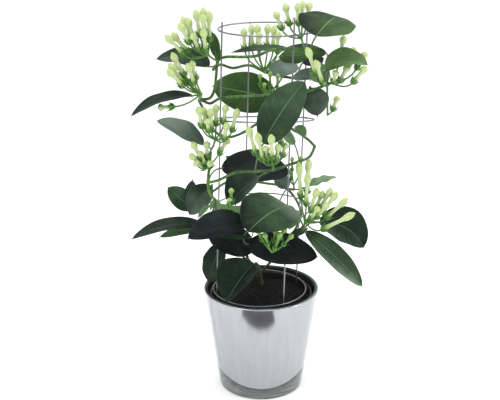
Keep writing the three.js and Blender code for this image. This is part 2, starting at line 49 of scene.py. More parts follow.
camera = bpy.data.objects.new("camera", bpy.data.cameras.new("camera"))
camera.data.lens = 68.4
camera.data.sensor_width = 36
camera.location = (-0.0135, -1.071, 0.593)
camera.rotation_euler = (math.radians(90 - CAMERA_DIP), 0, 0)
bpy.context.scene.collection.objects.link(camera)
bpy.context.scene.camera = camera
bpy.context.scene.view_settings.view_transform = "Standard"


def soft_box(name, place, target, width, height, power):
    """A rectangular lamp at a place, with its face turned to a target."""
    lamp = bpy.data.lights.new(name, "AREA")
    lamp.shape = "RECTANGLE"
    lamp.size = width
    lamp.size_y = height
    lamp.energy = power
    thing = bpy.data.objects.new(name, lamp)
    bpy.context.scene.collection.objects.link(thing)
    turn = (Vector(target) - Vector(place)).to_track_quat("-Z", "Y")
    thing.matrix_world = Matrix.Translation(place) @ turn.to_matrix().to_4x4()


soft_box("left_box", (-0.9, -0.9, 1.2), (0, 0, 0.3), width=0.7, height=0.9, power=9)
soft_box("top_box", (0.1, 0.2, 1.6), (0, 0, 0.3), width=0.9, height=0.9, power=9)
soft_box("right_box", (1.2, -0.3, 0.9), (0, 0, 0.25), width=0.4, height=0.9, power=6)


def paint(code):
    """A colour from its hexadecimal code, as the shader's own light values."""
    shares = [int(code[i:i + 2], 16) / 255 for i in (1, 3, 5)]
    return tuple(c / 12.92 if c < 0.04045 else ((c + 0.055) / 1.055) ** 2.4 for c in shares)


class Value:
    """An output of a node. Python's operators on it add Math nodes to its tree."""

    def __init__(self, recipe, socket):
        self.recipe = recipe
        self.socket = socket

    def other(self, name):
        """Another output of the same node."""
        return Value(self.recipe, self.recipe.find(self.socket.node.outputs, name))

    def maths(self, operation, *values):
        return self.recipe.node("ShaderNodeMath", {"operation": operation}, dict(enumerate(values)))

    def step(self, low, high):
        """0 below low, 1 above high, and smooth between them."""
        return self.recipe.node(
            "ShaderNodeMapRange", {"interpolation_type": "SMOOTHSTEP"},
            {"Value": self, "From Min": low, "From Max": high},
        )

    def __rsub__(self, whole):
        return self.maths("SUBTRACT", whole, self)

    def __neg__(self):
        return self.maths("MULTIPLY", self, -1)


for method, operation in {
    "__add__": "ADD", "__radd__": "ADD", "__sub__": "SUBTRACT", "__mul__": "MULTIPLY",
    "__rmul__": "MULTIPLY", "__truediv__": "DIVIDE", "__pow__": "POWER", "__abs__": "ABSOLUTE",
    "sine": "SINE", "cosine": "COSINE", "exponent": "EXPONENT", "least": "MINIMUM", "most": "MAXIMUM",
    "part": "FRACT",
}.items():
    setattr(Value, method, lambda self, *others, operation=operation: self.maths(operation, self, *others))


class Recipe:
    """A node tree as it is being made, for a finish or for a shape."""

    def __init__(self, tree):
        self.tree = tree

    def find(self, sockets, key):
        """A socket by its number, or by its identifier or name, the ones in use first."""
        if isinstance(key, int):
            return sockets[key]
        named = [s for s in sockets if key in (s.identifier, s.name)]
        return next((s for s in named if s.enabled), named[0])

    def node(self, kind, settings, sockets, out=0):
        """Any node: its settings first, then the values or links of its sockets. Colours may be codes."""
        made = self.tree.nodes.new(kind)
        for name, value in settings.items():
            if name == "stops":
                while len(made.color_ramp.elements) < len(value):
                    made.color_ramp.elements.new(0.5)
                for element, (place, colour) in zip(made.color_ramp.elements, value):
                    element.position = place
                    element.color = (*paint(colour), 1)
            elif name == "points":
                curve = made.mapping.curves[0]
                while len(curve.points) < len(value):
                    curve.points.new(0.5, 0.5)
                for point, place in zip(curve.points, value):
                    point.location = place
                made.mapping.update()
            else:
                setattr(made, name, value)
        for key, value in sockets.items():
            socket = self.find(made.inputs, key)
            if isinstance(value, Value):
                value = [value]
            if isinstance(value, list):
                for source in value:
                    self.tree.links.new(source.socket, socket)
            elif socket.type == "RGBA":
                socket.default_value = (*(paint(value) if isinstance(value, str) else value), 1)
            else:
                socket.default_value = value
        if not made.outputs:
            return None
        return Value(self, self.find(made.outputs, out))

    def mixed(self, share, first, second):
        """A colour between two colours."""
        return self.node(
            "ShaderNodeMix", {"data_type": "RGBA"},
            {"Factor_Float": share, "A_Color": first, "B_Color": second}, "Result_Color",
        )

    def across(self, vector):
        """The X of a vector. Its other("Y") and other("Z") are the rest."""
        return self.node("ShaderNodeSeparateXYZ", {}, {"Vector": vector})

    def vector(self, **parts):
        return self.node("ShaderNodeCombineXYZ", {}, parts)

    def noise(self, place, scale, detail=2.0, roughness=0.5):
        return self.node(
            "ShaderNodeTexNoise", {},
            {"Vector": place, "Scale": scale, "Detail": detail, "Roughness": roughness},
        )

    def bumped(self, height, depth):
        """A normal that follows a height between 0 and 1, depth in metres."""
        sockets = {"Height": height, "Distance": depth, "Strength": 1.0}
        return self.node("ShaderNodeBump", {}, sockets, "Normal")

    def surface(self, sockets):
        shader = self.node("ShaderNodeBsdfPrincipled", {}, sockets)
        self.node("ShaderNodeOutputMaterial", {}, {"Surface": shader})


def new_finish(name):
    material = bpy.data.materials.new(name)
    material.use_nodes = True
    material.node_tree.nodes.clear()
    recipe = Recipe(material.node_tree)
    place = recipe.node("ShaderNodeTexCoord", {}, {}, "Object")
    return material, recipe, place


room = bpy.data.worlds.new("room")
room.use_nodes = True
room.node_tree.nodes.clear()
recipe = Recipe(room.node_tree)
upward = recipe.across(recipe.node("ShaderNodeTexCoord", {}, {}, "Generated")).other("Z")
walls = recipe.mixed(upward.step(-0.1, 0.75), (0.55, 0.56, 0.58), (1.15, 1.15, 1.15))
light = recipe.node("ShaderNodeBackground", {}, {"Color": walls, "Strength": 1.0})
recipe.node("ShaderNodeOutputWorld", {}, {"Surface": light})
bpy.context.scene.world = room

floor_paper, recipe, place = new_finish("floor_paper")
sheet = recipe.mixed(recipe.noise(place, 900, 3), "#f6f6f6", "#fbfbfb")
recipe.surface({
    "Base Color": sheet, "Roughness": 0.9, "Specular IOR Level": 0.1,
    "Emission Color": sheet, "Emission Strength": 0.1,
})

grey_card, recipe, place = new_finish("grey_card")
recipe.surface({
    "Base Color": recipe.mixed(recipe.noise(place, 300), "#595858", "#686666"),
    "Roughness": 0.9, "Specular IOR Level": 0.1,
})


def flat_sheet(name, finish, left, right, front, back, height=0):
    """A level rectangle between its four edges."""
    mesh = bpy.data.meshes.new(name)
    corners = [(left, front, height), (right, front, height), (right, back, height), (left, back, height)]
    mesh.from_pydata(corners, [], [(0, 1, 2, 3)])
    mesh.materials.append(finish)
    thing = bpy.data.objects.new(name, mesh)
    bpy.context.scene.collection.objects.link(thing)
    return thing


floor = flat_sheet("floor", floor_paper, left=-8, right=8, front=-8, back=8)

front_card = flat_sheet(
    "front_card", grey_card, left=-0.14, right=0.09, front=-0.27, back=-0.188, height=0.001)
front_card.visible_camera = False
front_card.visible_diffuse = False
front_card.visible_shadow = False


# ---- Cover pot ----
# A tapered pot of pressed glass, silvered on its inner face. The foot is thick clear glass, and the rim shows
# the glass's own grey green between the silver and the fire-polished edge; rim and inner faces are darkened
# further with painted shade for the dark gap inside.

MM = 0.001
POT_HEIGHT = 128
POT_RIM = 70
POT_FOOT = 51
GLASS_WALL = 4.5
GLASS_FOOT = 12
POT_SIDES = 144
SILVER_EDGE = 15.5 * MM
EDGE_RISE = 4.6
# The bearing round the pot of the painted dark reflection on the silver
REFLECTION_LINE_BEARING = -2.66

silvered_glass, recipe, place = new_finish("silvered_glass")
spot = recipe.across(place)
height = spot.other("Z")
bearing = spot.maths("ARCTAN2", spot.other("Y"), spot)

# The silver, with soft upright runs and a painted dark reflection, a faint wavy line down its left side
wash = recipe.noise(recipe.vector(X=bearing, Y=height * 6), 7, 3)
run = recipe.noise(recipe.vector(X=bearing * 3, Y=height * 9), 3, 4)
waver = recipe.noise(recipe.vector(Y=height * 45), 1.0, 2)
painted_reflection_line = 1 - abs(bearing - REFLECTION_LINE_BEARING + (waver - 0.5) * 0.2).step(0.01, 0.1)
plated = recipe.mixed(run.step(0.3, 0.75), "#a4a6aa", "#abadb1")
silver = recipe.node("ShaderNodeBsdfPrincipled", {}, {
    "Base Color": recipe.mixed(painted_reflection_line * 0.3, plated, "#55575b"), "Metallic": 1.0,
    "Roughness": 0.09 + recipe.noise(place, 26, 3) * 0.12, "Normal": recipe.bumped(wash, 0.05 * MM),
})

# The clear foot, layered, with painted shade in a band and in patches just under the silver's edge, which
# meets it in a wavering line
level = height - spot * spot * EDGE_RISE + (wash - 0.5) * (1.6 * MM)
layers = recipe.noise(recipe.vector(X=bearing * 1.2, Y=height * 260), 1.6, 3)
painted_shade_patch = recipe.noise(recipe.vector(X=bearing * 2.2, Y=height * 60), 1.4, 2)
clear = recipe.mixed(layers.step(0.35, 0.68), "#4d5553", "#727b79")
# Painted shade: the foot darkens towards the silver's edge, and in patches just below it
clear = recipe.mixed(level.step(8 * MM, SILVER_EDGE) * 0.7, clear, "#2c3231")
clear = recipe.mixed(painted_shade_patch.step(0.52, 0.66) * height.step(6 * MM, 12 * MM) * 0.6, clear, "#363d3b")
foot = recipe.node("ShaderNodeBsdfPrincipled", {}, {
    "Base Color": clear, "Roughness": 0.06, "Specular IOR Level": 0.7,
    "Normal": recipe.bumped(layers, 0.5 * MM),
})
edge = level.step(SILVER_EDGE, SILVER_EDGE + 1 * MM)
recipe.node("ShaderNodeOutputMaterial", {}, {
    "Surface": recipe.node("ShaderNodeMixShader", {}, {0: edge, 1: foot, 2: silver}),
})

# Rim and inner faces: the glass's own grey green, darkened with painted shade for the dark gap round the
# nursery pot
rim_glass, recipe, place = new_finish("rim_glass")
ripple = recipe.noise(place, 60, 2)
recipe.surface({
    "Base Color": recipe.mixed(ripple, "#1d2423", "#2b3331"), "Roughness": 0.1,
    "Specular IOR Level": 0.5, "Normal": recipe.bumped(ripple, 0.4 * MM),
})


def new_piece(name, mesh, smooth=True):
    """An object at the origin for a finished mesh."""
    for face in mesh.polygons:
        face.use_smooth = smooth
    piece = bpy.data.objects.new(name, mesh)
    bpy.context.scene.collection.objects.link(piece)
    return piece


def turned(name, profile, sides, finishes):
    """A closed body of revolution. Each profile point is a radius, a height and a finish's number."""
    points = []
    faces = []
    numbers = []
    rings = []
    for radius, height, _ in profile:
        if radius == 0:
            rings.append([len(points)] * sides)
            points.append((0, 0, height * MM))
            continue
        rings.append([len(points) + k for k in range(sides)])
        for k in range(sides):
            angle = 2 * math.pi * k / sides
            points.append((radius * MM * math.cos(angle), radius * MM * math.sin(angle), height * MM))
    for low, high, (_, _, number) in zip(rings, rings[1:], profile[1:]):
        for k in range(sides):
            after = (k + 1) % sides
            face = [low[k], low[after], high[after], high[k]]
            faces.append(list(dict.fromkeys(face)))
            numbers.append(number)
    mesh = bpy.data.meshes.new(name)
    mesh.from_pydata(points, [], faces)
    for finish in finishes:
        mesh.materials.append(finish)
    for face, number in zip(mesh.polygons, numbers):
        face.material_index = number
    return new_piece(name, mesh)


def rounded(corner, before, after, reach, number, steps=5):
    """Points on the round that cuts a corner of a profile."""
    at = Vector(corner)
    start = at + (Vector(before) - at).normalized() * reach
    end = at + (Vector(after) - at).normalized() * reach
    shares = [k / steps for k in range(steps + 1)]
    curve = [start * (1 - s) ** 2 + at * 2 * s * (1 - s) + end * s ** 2 for s in shares]
    return [(p.x, p.y, number) for p in curve]


pot_slope = (POT_RIM - POT_FOOT) / POT_HEIGHT
inner_rim = (POT_RIM - GLASS_WALL, POT_HEIGHT)
inner_foot = (POT_FOOT + pot_slope * GLASS_FOOT - GLASS_WALL, GLASS_FOOT)
OUTSIDE, INSIDE = 0, 1
outer_foot = rounded((POT_FOOT, 0), (0, 0), (POT_RIM, POT_HEIGHT), 2.2, OUTSIDE)
outer_rim = rounded((POT_RIM, POT_HEIGHT), (POT_FOOT, 0), inner_rim, 1.4, OUTSIDE)
lip = rounded(inner_rim, (POT_RIM, POT_HEIGHT), inner_foot, 1.2, INSIDE)
well = rounded(inner_foot, inner_rim, (0, GLASS_FOOT), 3, INSIDE)
cover_pot = turned("cover_pot", [
    (0, 0, OUTSIDE), *outer_foot, *outer_rim, *lip, *well, (0, GLASS_FOOT, INSIDE),
], POT_SIDES, [silvered_glass, rim_glass])
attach(cover_pot, "root")
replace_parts(cover_pot, "glass_cover_pot")


# ---- Nursery pot ----
# The thin plastic pot that the plant is sold in, set down inside the cover pot. It is dark brown,
# and its rolled rim has scuffed to a dull terracotta.

NURSERY_RIM = 62.5
NURSERY_SHOULDER = 61.2
NURSERY_FOOT = 46.4
NURSERY_TOP = 122
NURSERY_BAND = 113
NURSERY_WALL = 1.2
NURSERY_SIDES = 96
CLEARANCE = 0.3

nursery_plastic, recipe, place = new_finish("nursery_plastic")
height = recipe.across(place).other("Z")
scuff = recipe.noise(place, 70, 4, 0.65)
wear_and_painted_light = height.step((NURSERY_TOP - 2.5) * MM, (NURSERY_TOP - 0.2) * MM) * scuff.step(0.44, 0.6)
recipe.surface({
    "Base Color": recipe.mixed(wear_and_painted_light, "#1a1513", "#43302a"),
    "Roughness": 0.45 + scuff * 0.3, "Normal": recipe.bumped(scuff, 0.3 * MM),
})
nursery_foot = GLASS_FOOT + CLEARANCE
nursery_slope = (NURSERY_SHOULDER - NURSERY_FOOT) / (NURSERY_BAND - nursery_foot)
inner_band = NURSERY_SHOULDER - NURSERY_WALL
inner_floor = NURSERY_FOOT - NURSERY_WALL + nursery_slope * NURSERY_WALL
outer_lip = (NURSERY_RIM, NURSERY_TOP)
inner_lip = (inner_band, NURSERY_TOP)
nursery_pot = turned("nursery_pot", [
    (0, nursery_foot, 0), (NURSERY_FOOT - 1.5, nursery_foot, 0), (NURSERY_FOOT, nursery_foot + 1.5, 0),
    (NURSERY_SHOULDER, NURSERY_BAND - 0.4, 0), (NURSERY_RIM, NURSERY_BAND, 0),
    *rounded(outer_lip, (NURSERY_RIM, NURSERY_BAND), inner_lip, 0.9, 0),
    *rounded(inner_lip, outer_lip, (inner_band, NURSERY_BAND), 0.9, 0),
    (inner_band, NURSERY_BAND, 0), (inner_floor, nursery_foot + NURSERY_WALL, 0),
    (0, nursery_foot + NURSERY_WALL, 0),
], NURSERY_SIDES, [nursery_plastic])
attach(nursery_pot, "root")
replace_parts(nursery_pot, "nursery_pot")


# ---- Potting soil ----
# Moist peat mix, almost black, heaped a little towards the trunk. Its crumbs lie loose on top,
# with a few specks of bark among them.

SOIL_TOP = 117
SOIL_CROWN = 2.5
SOIL_SIDES = 72
CROWN_RINGS = 24
soil_sizes = {"Roughness": 1.0 * MM, "Crumb": 1.0 * MM, "Crumbs": 90000.0, "Seed": 7}

potting_mix, recipe, place = new_finish("potting_mix")
crumbly = recipe.noise(place, 420, 6, 0.7)
damp = recipe.noise(place, 60, 2)
bark = recipe.noise(place, 240, 2).step(0.66, 0.72)
earth = recipe.mixed(crumbly.step(0.35, 0.7), "#0e0e0f", "#1f1f21")
recipe.surface({
    "Base Color": recipe.mixed(bark * 0.35, earth, "#4b3b30"), "Roughness": 0.8 + damp * 0.2,
    "Specular IOR Level": 0.12, "Normal": recipe.bumped(crumbly, 1.2 * MM),
})


def new_form(name, sizes):
    """A Geometry Nodes tree with a named input for each size. Gives its recipe and its inputs by name."""
    tree = bpy.data.node_groups.new(name, "GeometryNodeTree")
    tree.interface.new_socket(name="Geometry", in_out="INPUT", socket_type="NodeSocketGeometry")
    kinds = {float: "Float", int: "Int", tuple: "Vector"}
    for size, start in sizes.items():
        kind = "NodeSocket" + kinds.get(type(start), "Object")
        socket = tree.interface.new_socket(name=size, in_out="INPUT", socket_type=kind)
        if kind != "NodeSocketObject":
            socket.default_value = start
    tree.interface.new_socket(name="Geometry", in_out="OUTPUT", socket_type="NodeSocketGeometry")
    recipe = Recipe(tree)
    entry = tree.nodes.new("NodeGroupInput")
    return recipe, {s.name: Value(recipe, s) for s in entry.outputs if s.name}


def finished(recipe, parts, finishes, smooth=True):
    """Ends a form: its parts in one, real faces instead of instances, and a finish for each selection."""
    geometry = recipe.node("GeometryNodeJoinGeometry", {}, {"Geometry": parts})
    if smooth:
        geometry = recipe.node("GeometryNodeSetShadeSmooth", {}, {"Geometry": geometry})
    geometry = recipe.node("GeometryNodeRealizeInstances", {}, {"Geometry": geometry})
    for finish, chosen in finishes:
        sockets = {"Geometry": geometry, "Material": finish}
        if chosen is not None:
            sockets["Selection"] = chosen
        geometry = recipe.node("GeometryNodeSetMaterial", {}, sockets)
    recipe.node("NodeGroupOutput", {}, {"Geometry": geometry})


def formed(name, data, recipe, sizes):
    """The plain mesh that a form makes from a start shape and its sizes."""
    source = bpy.data.objects.new(name + "_start", data)
    bpy.context.scene.collection.objects.link(source)
    modifier = source.modifiers.new("form", "NODES")
    modifier.node_group = recipe.tree
    sockets = {s.name: s.identifier for s in recipe.tree.interface.items_tree if s.in_out == "INPUT"}
    for size, value in sizes.items():
        modifier[sockets[size]] = value
    evaluated = source.evaluated_get(bpy.context.evaluated_depsgraph_get())
    mesh = bpy.data.meshes.new_from_object(evaluated)
    mesh.name = name
    source.modifiers.remove(modifier)
    bpy.data.objects.remove(source)
    return mesh


soil_form, size = new_form("soil_and_crumbs", soil_sizes)
here = soil_form.node("GeometryNodeInputPosition", {}, {})
top_side = soil_form.across(here).other("Z").step((SOIL_TOP - 3.5) * MM, (SOIL_TOP - 0.5) * MM)
lump = soil_form.noise(here, 130, 4) - 0.5
risen = soil_form.node("GeometryNodeSetPosition", {}, {
    "Geometry": size["Geometry"], "Offset": soil_form.vector(Z=lump * top_side * size["Roughness"] * 2)})
scattered = soil_form.node("GeometryNodeDistributePointsOnFaces", {}, {
    "Mesh": risen, "Density": size["Crumbs"], "Seed": size["Seed"], "Selection": top_side.step(0.8, 0.9)})
turn = soil_form.node("FunctionNodeRandomValue", {"data_type": "FLOAT_VECTOR"}, {
    "Max": (6.0, 6.0, 6.0), "Seed": size["Seed"]})
bulk = soil_form.node("FunctionNodeRandomValue", {"data_type": "FLOAT_VECTOR"}, {
    "Min": (0.4, 0.4, 0.3), "Max": (1.3, 1.1, 0.8), "Seed": size["Seed"]})
crumb = soil_form.node("GeometryNodeMeshIcoSphere", {}, {"Radius": size["Crumb"], "Subdivisions": 1})
crumbs = soil_form.node("GeometryNodeInstanceOnPoints", {}, {
    "Points": scattered, "Instance": crumb, "Rotation": turn, "Scale": bulk})
finished(soil_form, [risen, crumbs], [(potting_mix, None)], smooth=False)

soil_foot = nursery_foot + NURSERY_WALL + CLEARANCE
soil_rim = inner_band - CLEARANCE
soil_edge = SOIL_TOP - 3
crown_rings = []
for k in range(CROWN_RINGS, 0, -1):
    share = k / CROWN_RINGS
    crown = (SOIL_TOP + SOIL_CROWN - soil_edge) * min(1.0, 1.6 * (1 - share)) ** 0.6
    crown_rings.append((soil_rim * share, soil_edge + crown, 0))
soil_start = turned("soil_start", [
    (0, soil_foot, 0), (inner_floor - 0.6, soil_foot, 0), (soil_rim, NURSERY_BAND, 0), *crown_rings,
    (0, SOIL_TOP + SOIL_CROWN, 0),
], SOIL_SIDES, [potting_mix])
soil_mesh = formed("potting_soil", soil_start.data, soil_form, soil_sizes)
potting_soil = new_piece("potting_soil", soil_mesh, smooth=False)
bpy.data.objects.remove(soil_start)
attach(potting_soil, "root")
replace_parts(potting_soil, "potting_soil")


# ---- Wire cage ----
# Four rings of galvanised wire, spot welded to the outsides of four uprights that are pushed
# into the soil. The cage leans a little to the right and back, and one ring is bent up in front.

CAGE = 56.5
UPRIGHT = CAGE - 2.3
CAGE_FOOT = 106
RING_STEPS = 120
LEAN_START = -1.8
LEAN_RIGHT = 8.5
LEAN_BACK = 11.8
WELDED = 2
wire_sizes = {"Radius": 0.9 * MM, "Sides": 12, "Weld": 1.4 * MM}
uprights = {
    "right_front": (30.6, 458), "right_back": (120.9, 450),
    "left_back": (202.1, 425), "left_front": (288, 449),
}
rings = {
    "lowest": (126, CAGE, 0), "lower": (228, CAGE, 0), "upper": (335, CAGE + 0.8, 10), "top": (439, CAGE, 0),
}

galvanised, recipe, place = new_finish("galvanised")
spangle = recipe.noise(place, 500, 3)
dull = recipe.noise(place, 40, 2)
recipe.surface({
    "Base Color": recipe.mixed(spangle, "#65676b", "#95979b"), "Metallic": 0.9,
    "Roughness": 0.25 + dull * 0.2, "Normal": recipe.bumped(spangle, 0.08 * MM),
})


def tube(recipe, path, sides, radius, scale=None):
    """A round bar along a path, closed at its ends."""
    sockets = {"Curve": path, "Fill Caps": True}
    sockets["Profile Curve"] = recipe.node(
        "GeometryNodeCurvePrimitiveCircle", {}, {"Resolution": sides, "Radius": radius})
    if scale is not None:
        sockets["Scale"] = scale
    return recipe.node("GeometryNodeCurveToMesh", {}, sockets)


wire_form, size = new_form("drawn_wire", wire_sizes)
wire = tube(wire_form, size["Geometry"], size["Sides"], size["Radius"])
weld = wire_form.node("GeometryNodeMeshIcoSphere", {}, {"Radius": size["Weld"], "Subdivisions": 2})
at_weld = wire_form.node("GeometryNodeInputRadius", {}, {}).step(WELDED * 0.7, WELDED * 0.75)
along_wire = wire_form.node("GeometryNodeCurveToPoints", {"mode": "EVALUATED"}, {"Curve": size["Geometry"]})
welds = wire_form.node("GeometryNodeInstanceOnPoints", {}, {
    "Points": along_wire, "Selection": at_weld, "Instance": weld})
finished(wire_form, [wire, welds], [(galvanised, None)])


def path_through(name, runs, closed=False):
    """A curve with a spline for each run of points. A point may carry a thickness as a fourth number."""
    curve = bpy.data.curves.new(name, "CURVE")
    curve.dimensions = "3D"
    for run in runs:
        spline = curve.splines.new("POLY")
        spline.points.add(len(run) - 1)
        spline.use_cyclic_u = closed
        for point, (x, y, z, *thick) in zip(spline.points, run):
            point.co = (x * MM, y * MM, z * MM, 1)
            point.radius = thick[0] if thick else 1
    return curve


def cage_middle(height):
    """The X and Y of the leaning cage's axis at a height."""
    lowest, top = rings["lowest"][0], rings["top"][0]
    rise = (height - lowest) / (top - lowest)
    return LEAN_START + LEAN_RIGHT * rise, LEAN_BACK * rise


def on_cage(degrees_from_front, radius, height):
    """A place on the cage, counted round it from its front towards its right."""
    angle = math.radians(degrees_from_front)
    x, y = cage_middle(height)
    return x + radius * math.sin(angle), y - radius * math.cos(angle), height


for name, (angle, top) in uprights.items():
    run = [on_cage(angle, UPRIGHT, CAGE_FOOT), on_cage(angle, UPRIGHT, top)]
    mesh = formed(name, path_through(name, [run]), wire_form, wire_sizes)
    upright = new_piece("cage_upright_" + name, mesh)
    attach(upright, "root")
    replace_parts(upright, "cage_upright_" + name)

for name, (height, radius, tilt) in rings.items():
    x, y = cage_middle(height)
    lean = math.radians(tilt)
    run = []
    for k in range(RING_STEPS):
        angle = 360 * k / RING_STEPS
        across = radius * math.sin(math.radians(angle))
        ahead = radius * math.cos(math.radians(angle))
        welded = any(abs(angle - a) <= 180 / RING_STEPS for a, _ in uprights.values())
        thick = WELDED if welded else 1
        run.append((x + across, y - ahead * math.cos(lean), height + ahead * math.sin(lean), thick))
    mesh = formed(name, path_through(name, [run], closed=True), wire_form, wire_sizes)
    ring = new_piece("cage_ring_" + name, mesh)
    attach(ring, "root")
    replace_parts(ring, "cage_ring_" + name)


# ---- Trunk and stems ----
# The vine itself: a short woody trunk, and shoots that climb and twine round the wires. Young
# shoots are smooth and mid green, old wood is brown, and each joint is a slight swelling.

STEM = 1.8
TRUNK = 2.8
SWELL_REACH = 3.5
KNOB_REACH = 3.4
stem_sizes = {"Radius": STEM * MM, "Sides": 12}

stem_bark, recipe, place = new_finish("stem_bark")
height = recipe.across(place).other("Z")
streak = recipe.noise(place, 160, 4)
patch = recipe.noise(place, 22, 2)
fresh = height.step(0.225, 0.25) * (1 - height.step(0.262, 0.286))
green = recipe.mixed(streak.step(0.3, 0.7), "#2b4423", "#4e7038")
green = recipe.mixed(fresh, green, recipe.mixed(streak, "#3d5f2b", "#68903f"))
old = 1 - (height + patch * 0.05).step(0.17, 0.22)
recipe.surface({
    "Base Color": recipe.mixed(old * 0.8, green, "#524d3b"), "Roughness": 0.5 + streak * 0.2,
    "Specular IOR Level": 0.3, "Normal": recipe.bumped(streak, 0.4 * MM),
})

joints = {
    "trunk": (-2, 25, 131), "low_left": (-17, 9, 163), "low_front": (2, -38, 204),
    "front_turn": (-10, -58, 233), "front_left": (-27, -54, 241), "left_bend": (-53, -33, 249),
    "left_curve": (-60, -27, 257), "left_rise": (-62, -24, 268), "left_middle": (-60, -24, 288),
    "left_shoulder": (-58, -28, 308), "mid_left": (-8, -57, 291), "mid_front": (12, -58, 293),
    "right_turn": (61, -8, 306), "back_turn": (41, 54, 310), "back_arch": (18, 65, 318),
    "back_middle": (-20, 64, 306), "left_high": (-70, -22, 365), "front_high": (9, -55, 377),
    "right_shoulder": (51, -39, 378), "right_high": (72, -32, 384), "left_top": (-49, -24, 409),
    "back_top": (5, 70, 379), "back_spur": (26, 68, 374), "back_end": (44, 56, 373),
    "top_front": (31, -50, 427), "crown_right": (50, -38, 418), "right_low": (48, -57, 224),
    "low_back": (32, 61, 234), "inner_right": (40, 24, 244), "back_left": (-40, 51, 246),
    "side_left": (-60, 26, 240), "right_curve": (42, -44, 299),
}
shoots = [
    # Front shoot, from the trunk up to the left shoulder
    ["trunk", (-9, 19, 146), "low_left", (-14, -14, 184), "low_front", (2, -54, 222), "front_turn",
     "front_left", (-42, -43, 244), "left_bend", "left_curve", "left_rise", "left_middle", "left_shoulder"],
    # Leader, once round the cage and across its front
    ["left_rise", (-50, -35, 274), (-30, -49, 287), "mid_left", "mid_front", (27, -54, 297), "right_curve",
     (54, -29, 300), "right_turn", (61, 14, 303), (55, 38, 304), "back_turn", "back_arch", (-4, 68, 315),
     "back_middle", (-40, 52, 302), (-57, 32, 316), (-64, 6, 342), "left_high", (-59, -24, 361),
     (-47, -35, 369), (-20, -52, 375), "front_high", (31, -50, 377), "right_shoulder", "right_high"],
    # Side shoot, up the left wire and over the front to the crown
    ["left_high", (-58, -27, 368), (-53, -27, 378), (-51, -25, 394), "left_top", (-41, -35, 415),
     (-20, -51, 418), (-6, -55, 420), (9, -55, 426), "top_front", (39, -46, 425), "crown_right"],
    # Wavy shoot, round the back of the top tier
    ["left_top", (-51, -10, 402), (-56, 14, 392), (-48, 42, 393), (-34, 58, 386), (-14, 70, 387),
     "back_top", "back_spur", "back_end"],
    # Right shoot, from the trunk to the big bud cluster
    ["trunk", (5, 18, 144), (14, 6, 160), (30, -26, 190), "right_low"],
    # Low shoot, round the back, and its twig inside the cage
    [(14, 6, 160), (30, 16, 178), (50, 46, 206), "low_back", (7, 69, 238), (-18, 65, 242), "back_left",
     "side_left"],
    ["low_back", (38, 44, 238), "inner_right"],
    # Spurs on the front shoot and at the left top, and a pruned stub beside the trunk
    [(-14, -2, 172), (-26, -7, 174), (-36, -10, 178)],
    [(-14, 3, 160), (-21, -2, 166), (-23, -1, 175)],
    [(1, 22, 118), (0, 17, 134), (-4, 14, 151)],
    ["left_top", (-51, -25, 414), (-53, -25, 420)],
    ["left_top", (-47, -24, 415), (-46, -23, 421)],
]
trunk = [(1, 28, 96), (1, 28, 118), (-2, 25, 131)]


def smooth_run(points, step):
    """A curve through every point, drawn as a run of places about a step apart."""
    points = [Vector(p) for p in points]
    points = [2 * points[0] - points[1], *points, 2 * points[-1] - points[-2]]
    run = []
    for a, b, c, d in zip(points, points[1:], points[2:], points[3:]):
        before, along, beyond = (max((q - p).length, 1e-4) ** 0.5 for p, q in ((a, b), (b, c), (c, d)))
        leave = ((b - a) / before - (c - a) / (before + along) + (c - b) / along) * along
        arrive = ((c - b) / along - (d - b) / (along + beyond) + (d - c) / beyond) * along
        steps = max(2, round((c - b).length / step))
        for k in range(steps):
            t = k / steps
            run.append(b + leave * t + (3 * (c - b) - 2 * leave - arrive) * t ** 2
                       + (2 * (b - c) + leave + arrive) * t ** 3)
    run.append(points[-2])
    return run


stem_form, size = new_form("round_stem", stem_sizes)
thickness = stem_form.node("GeometryNodeInputRadius", {}, {})
stem_body = tube(stem_form, size["Geometry"], size["Sides"], size["Radius"], thickness)
finished(stem_form, [stem_body], [(stem_bark, None)])

swellings = [Vector(place) for place in joints.values()]
runs = []
for shoot in shoots:
    run = smooth_run([joints.get(p, p) if isinstance(p, str) else p for p in shoot], 2.5)
    thick = []
    for k, p in enumerate(run):
        nearest = min((p - joint).length for joint in swellings)
        taper = min(1, 0.45 + (len(run) - 1 - k) * 0.25)
        thick.append((*p, (0.9 + 0.22 * math.exp(-(nearest / SWELL_REACH) ** 2)) * taper))
    runs.append(thick)
wood = smooth_run(trunk, 3)
runs.append([(*p, TRUNK / STEM * (1 + 0.08 * math.sin(k * 2.1))) for k, p in enumerate(wood)])
knob = []
for s in (-1, -0.8, -0.5, 0, 0.5, 0.8, 1):
    at = Vector(joints["trunk"]) + Vector((0.3, -0.6, 1)) * s * KNOB_REACH
    knob.append((*at, TRUNK / STEM * 1.3 * math.sqrt(max(0.02, 1 - s * s))))
runs.append(knob)
vine_stems = new_piece("vine_stems", formed("vine_stems", path_through("vine", runs), stem_form, stem_sizes))
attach(vine_stems, "root")
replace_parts(vine_stems, "vine_stems")


# ---- Leaves ----
# Thick evergreen leaves, dark and waxy above and paler beneath, each on its own short stalk. The
# blade folds along a pale midrib, ends in a small bent point, and shows faint side veins.

BLADE = 0.7
PETIOLE = 1.0
PETIOLE_SIDES = 8
STALK_ROOT = 1.0
SIDE_VEINS = 8
TIP_START = 0.975
leaf_sizes = {
    "Length": 60 * MM, "Width": 40 * MM, "Arch": 0.1, "Fold": 0.1, "Sweep": 0.0, "Droop": 0.0, "Twist": 0.0,
    "Curl": 0.0, "Wave": 0.03, "Waves": 2.0, "Phase": 0.0, "Dull": (0.0, 0.0, 0.0), "Thickness": BLADE * MM,
    "Rows": 44, "Around": 33, "Stalk": (0.0, 0.0, 0.0), "Stalk radius": PETIOLE * MM,
}


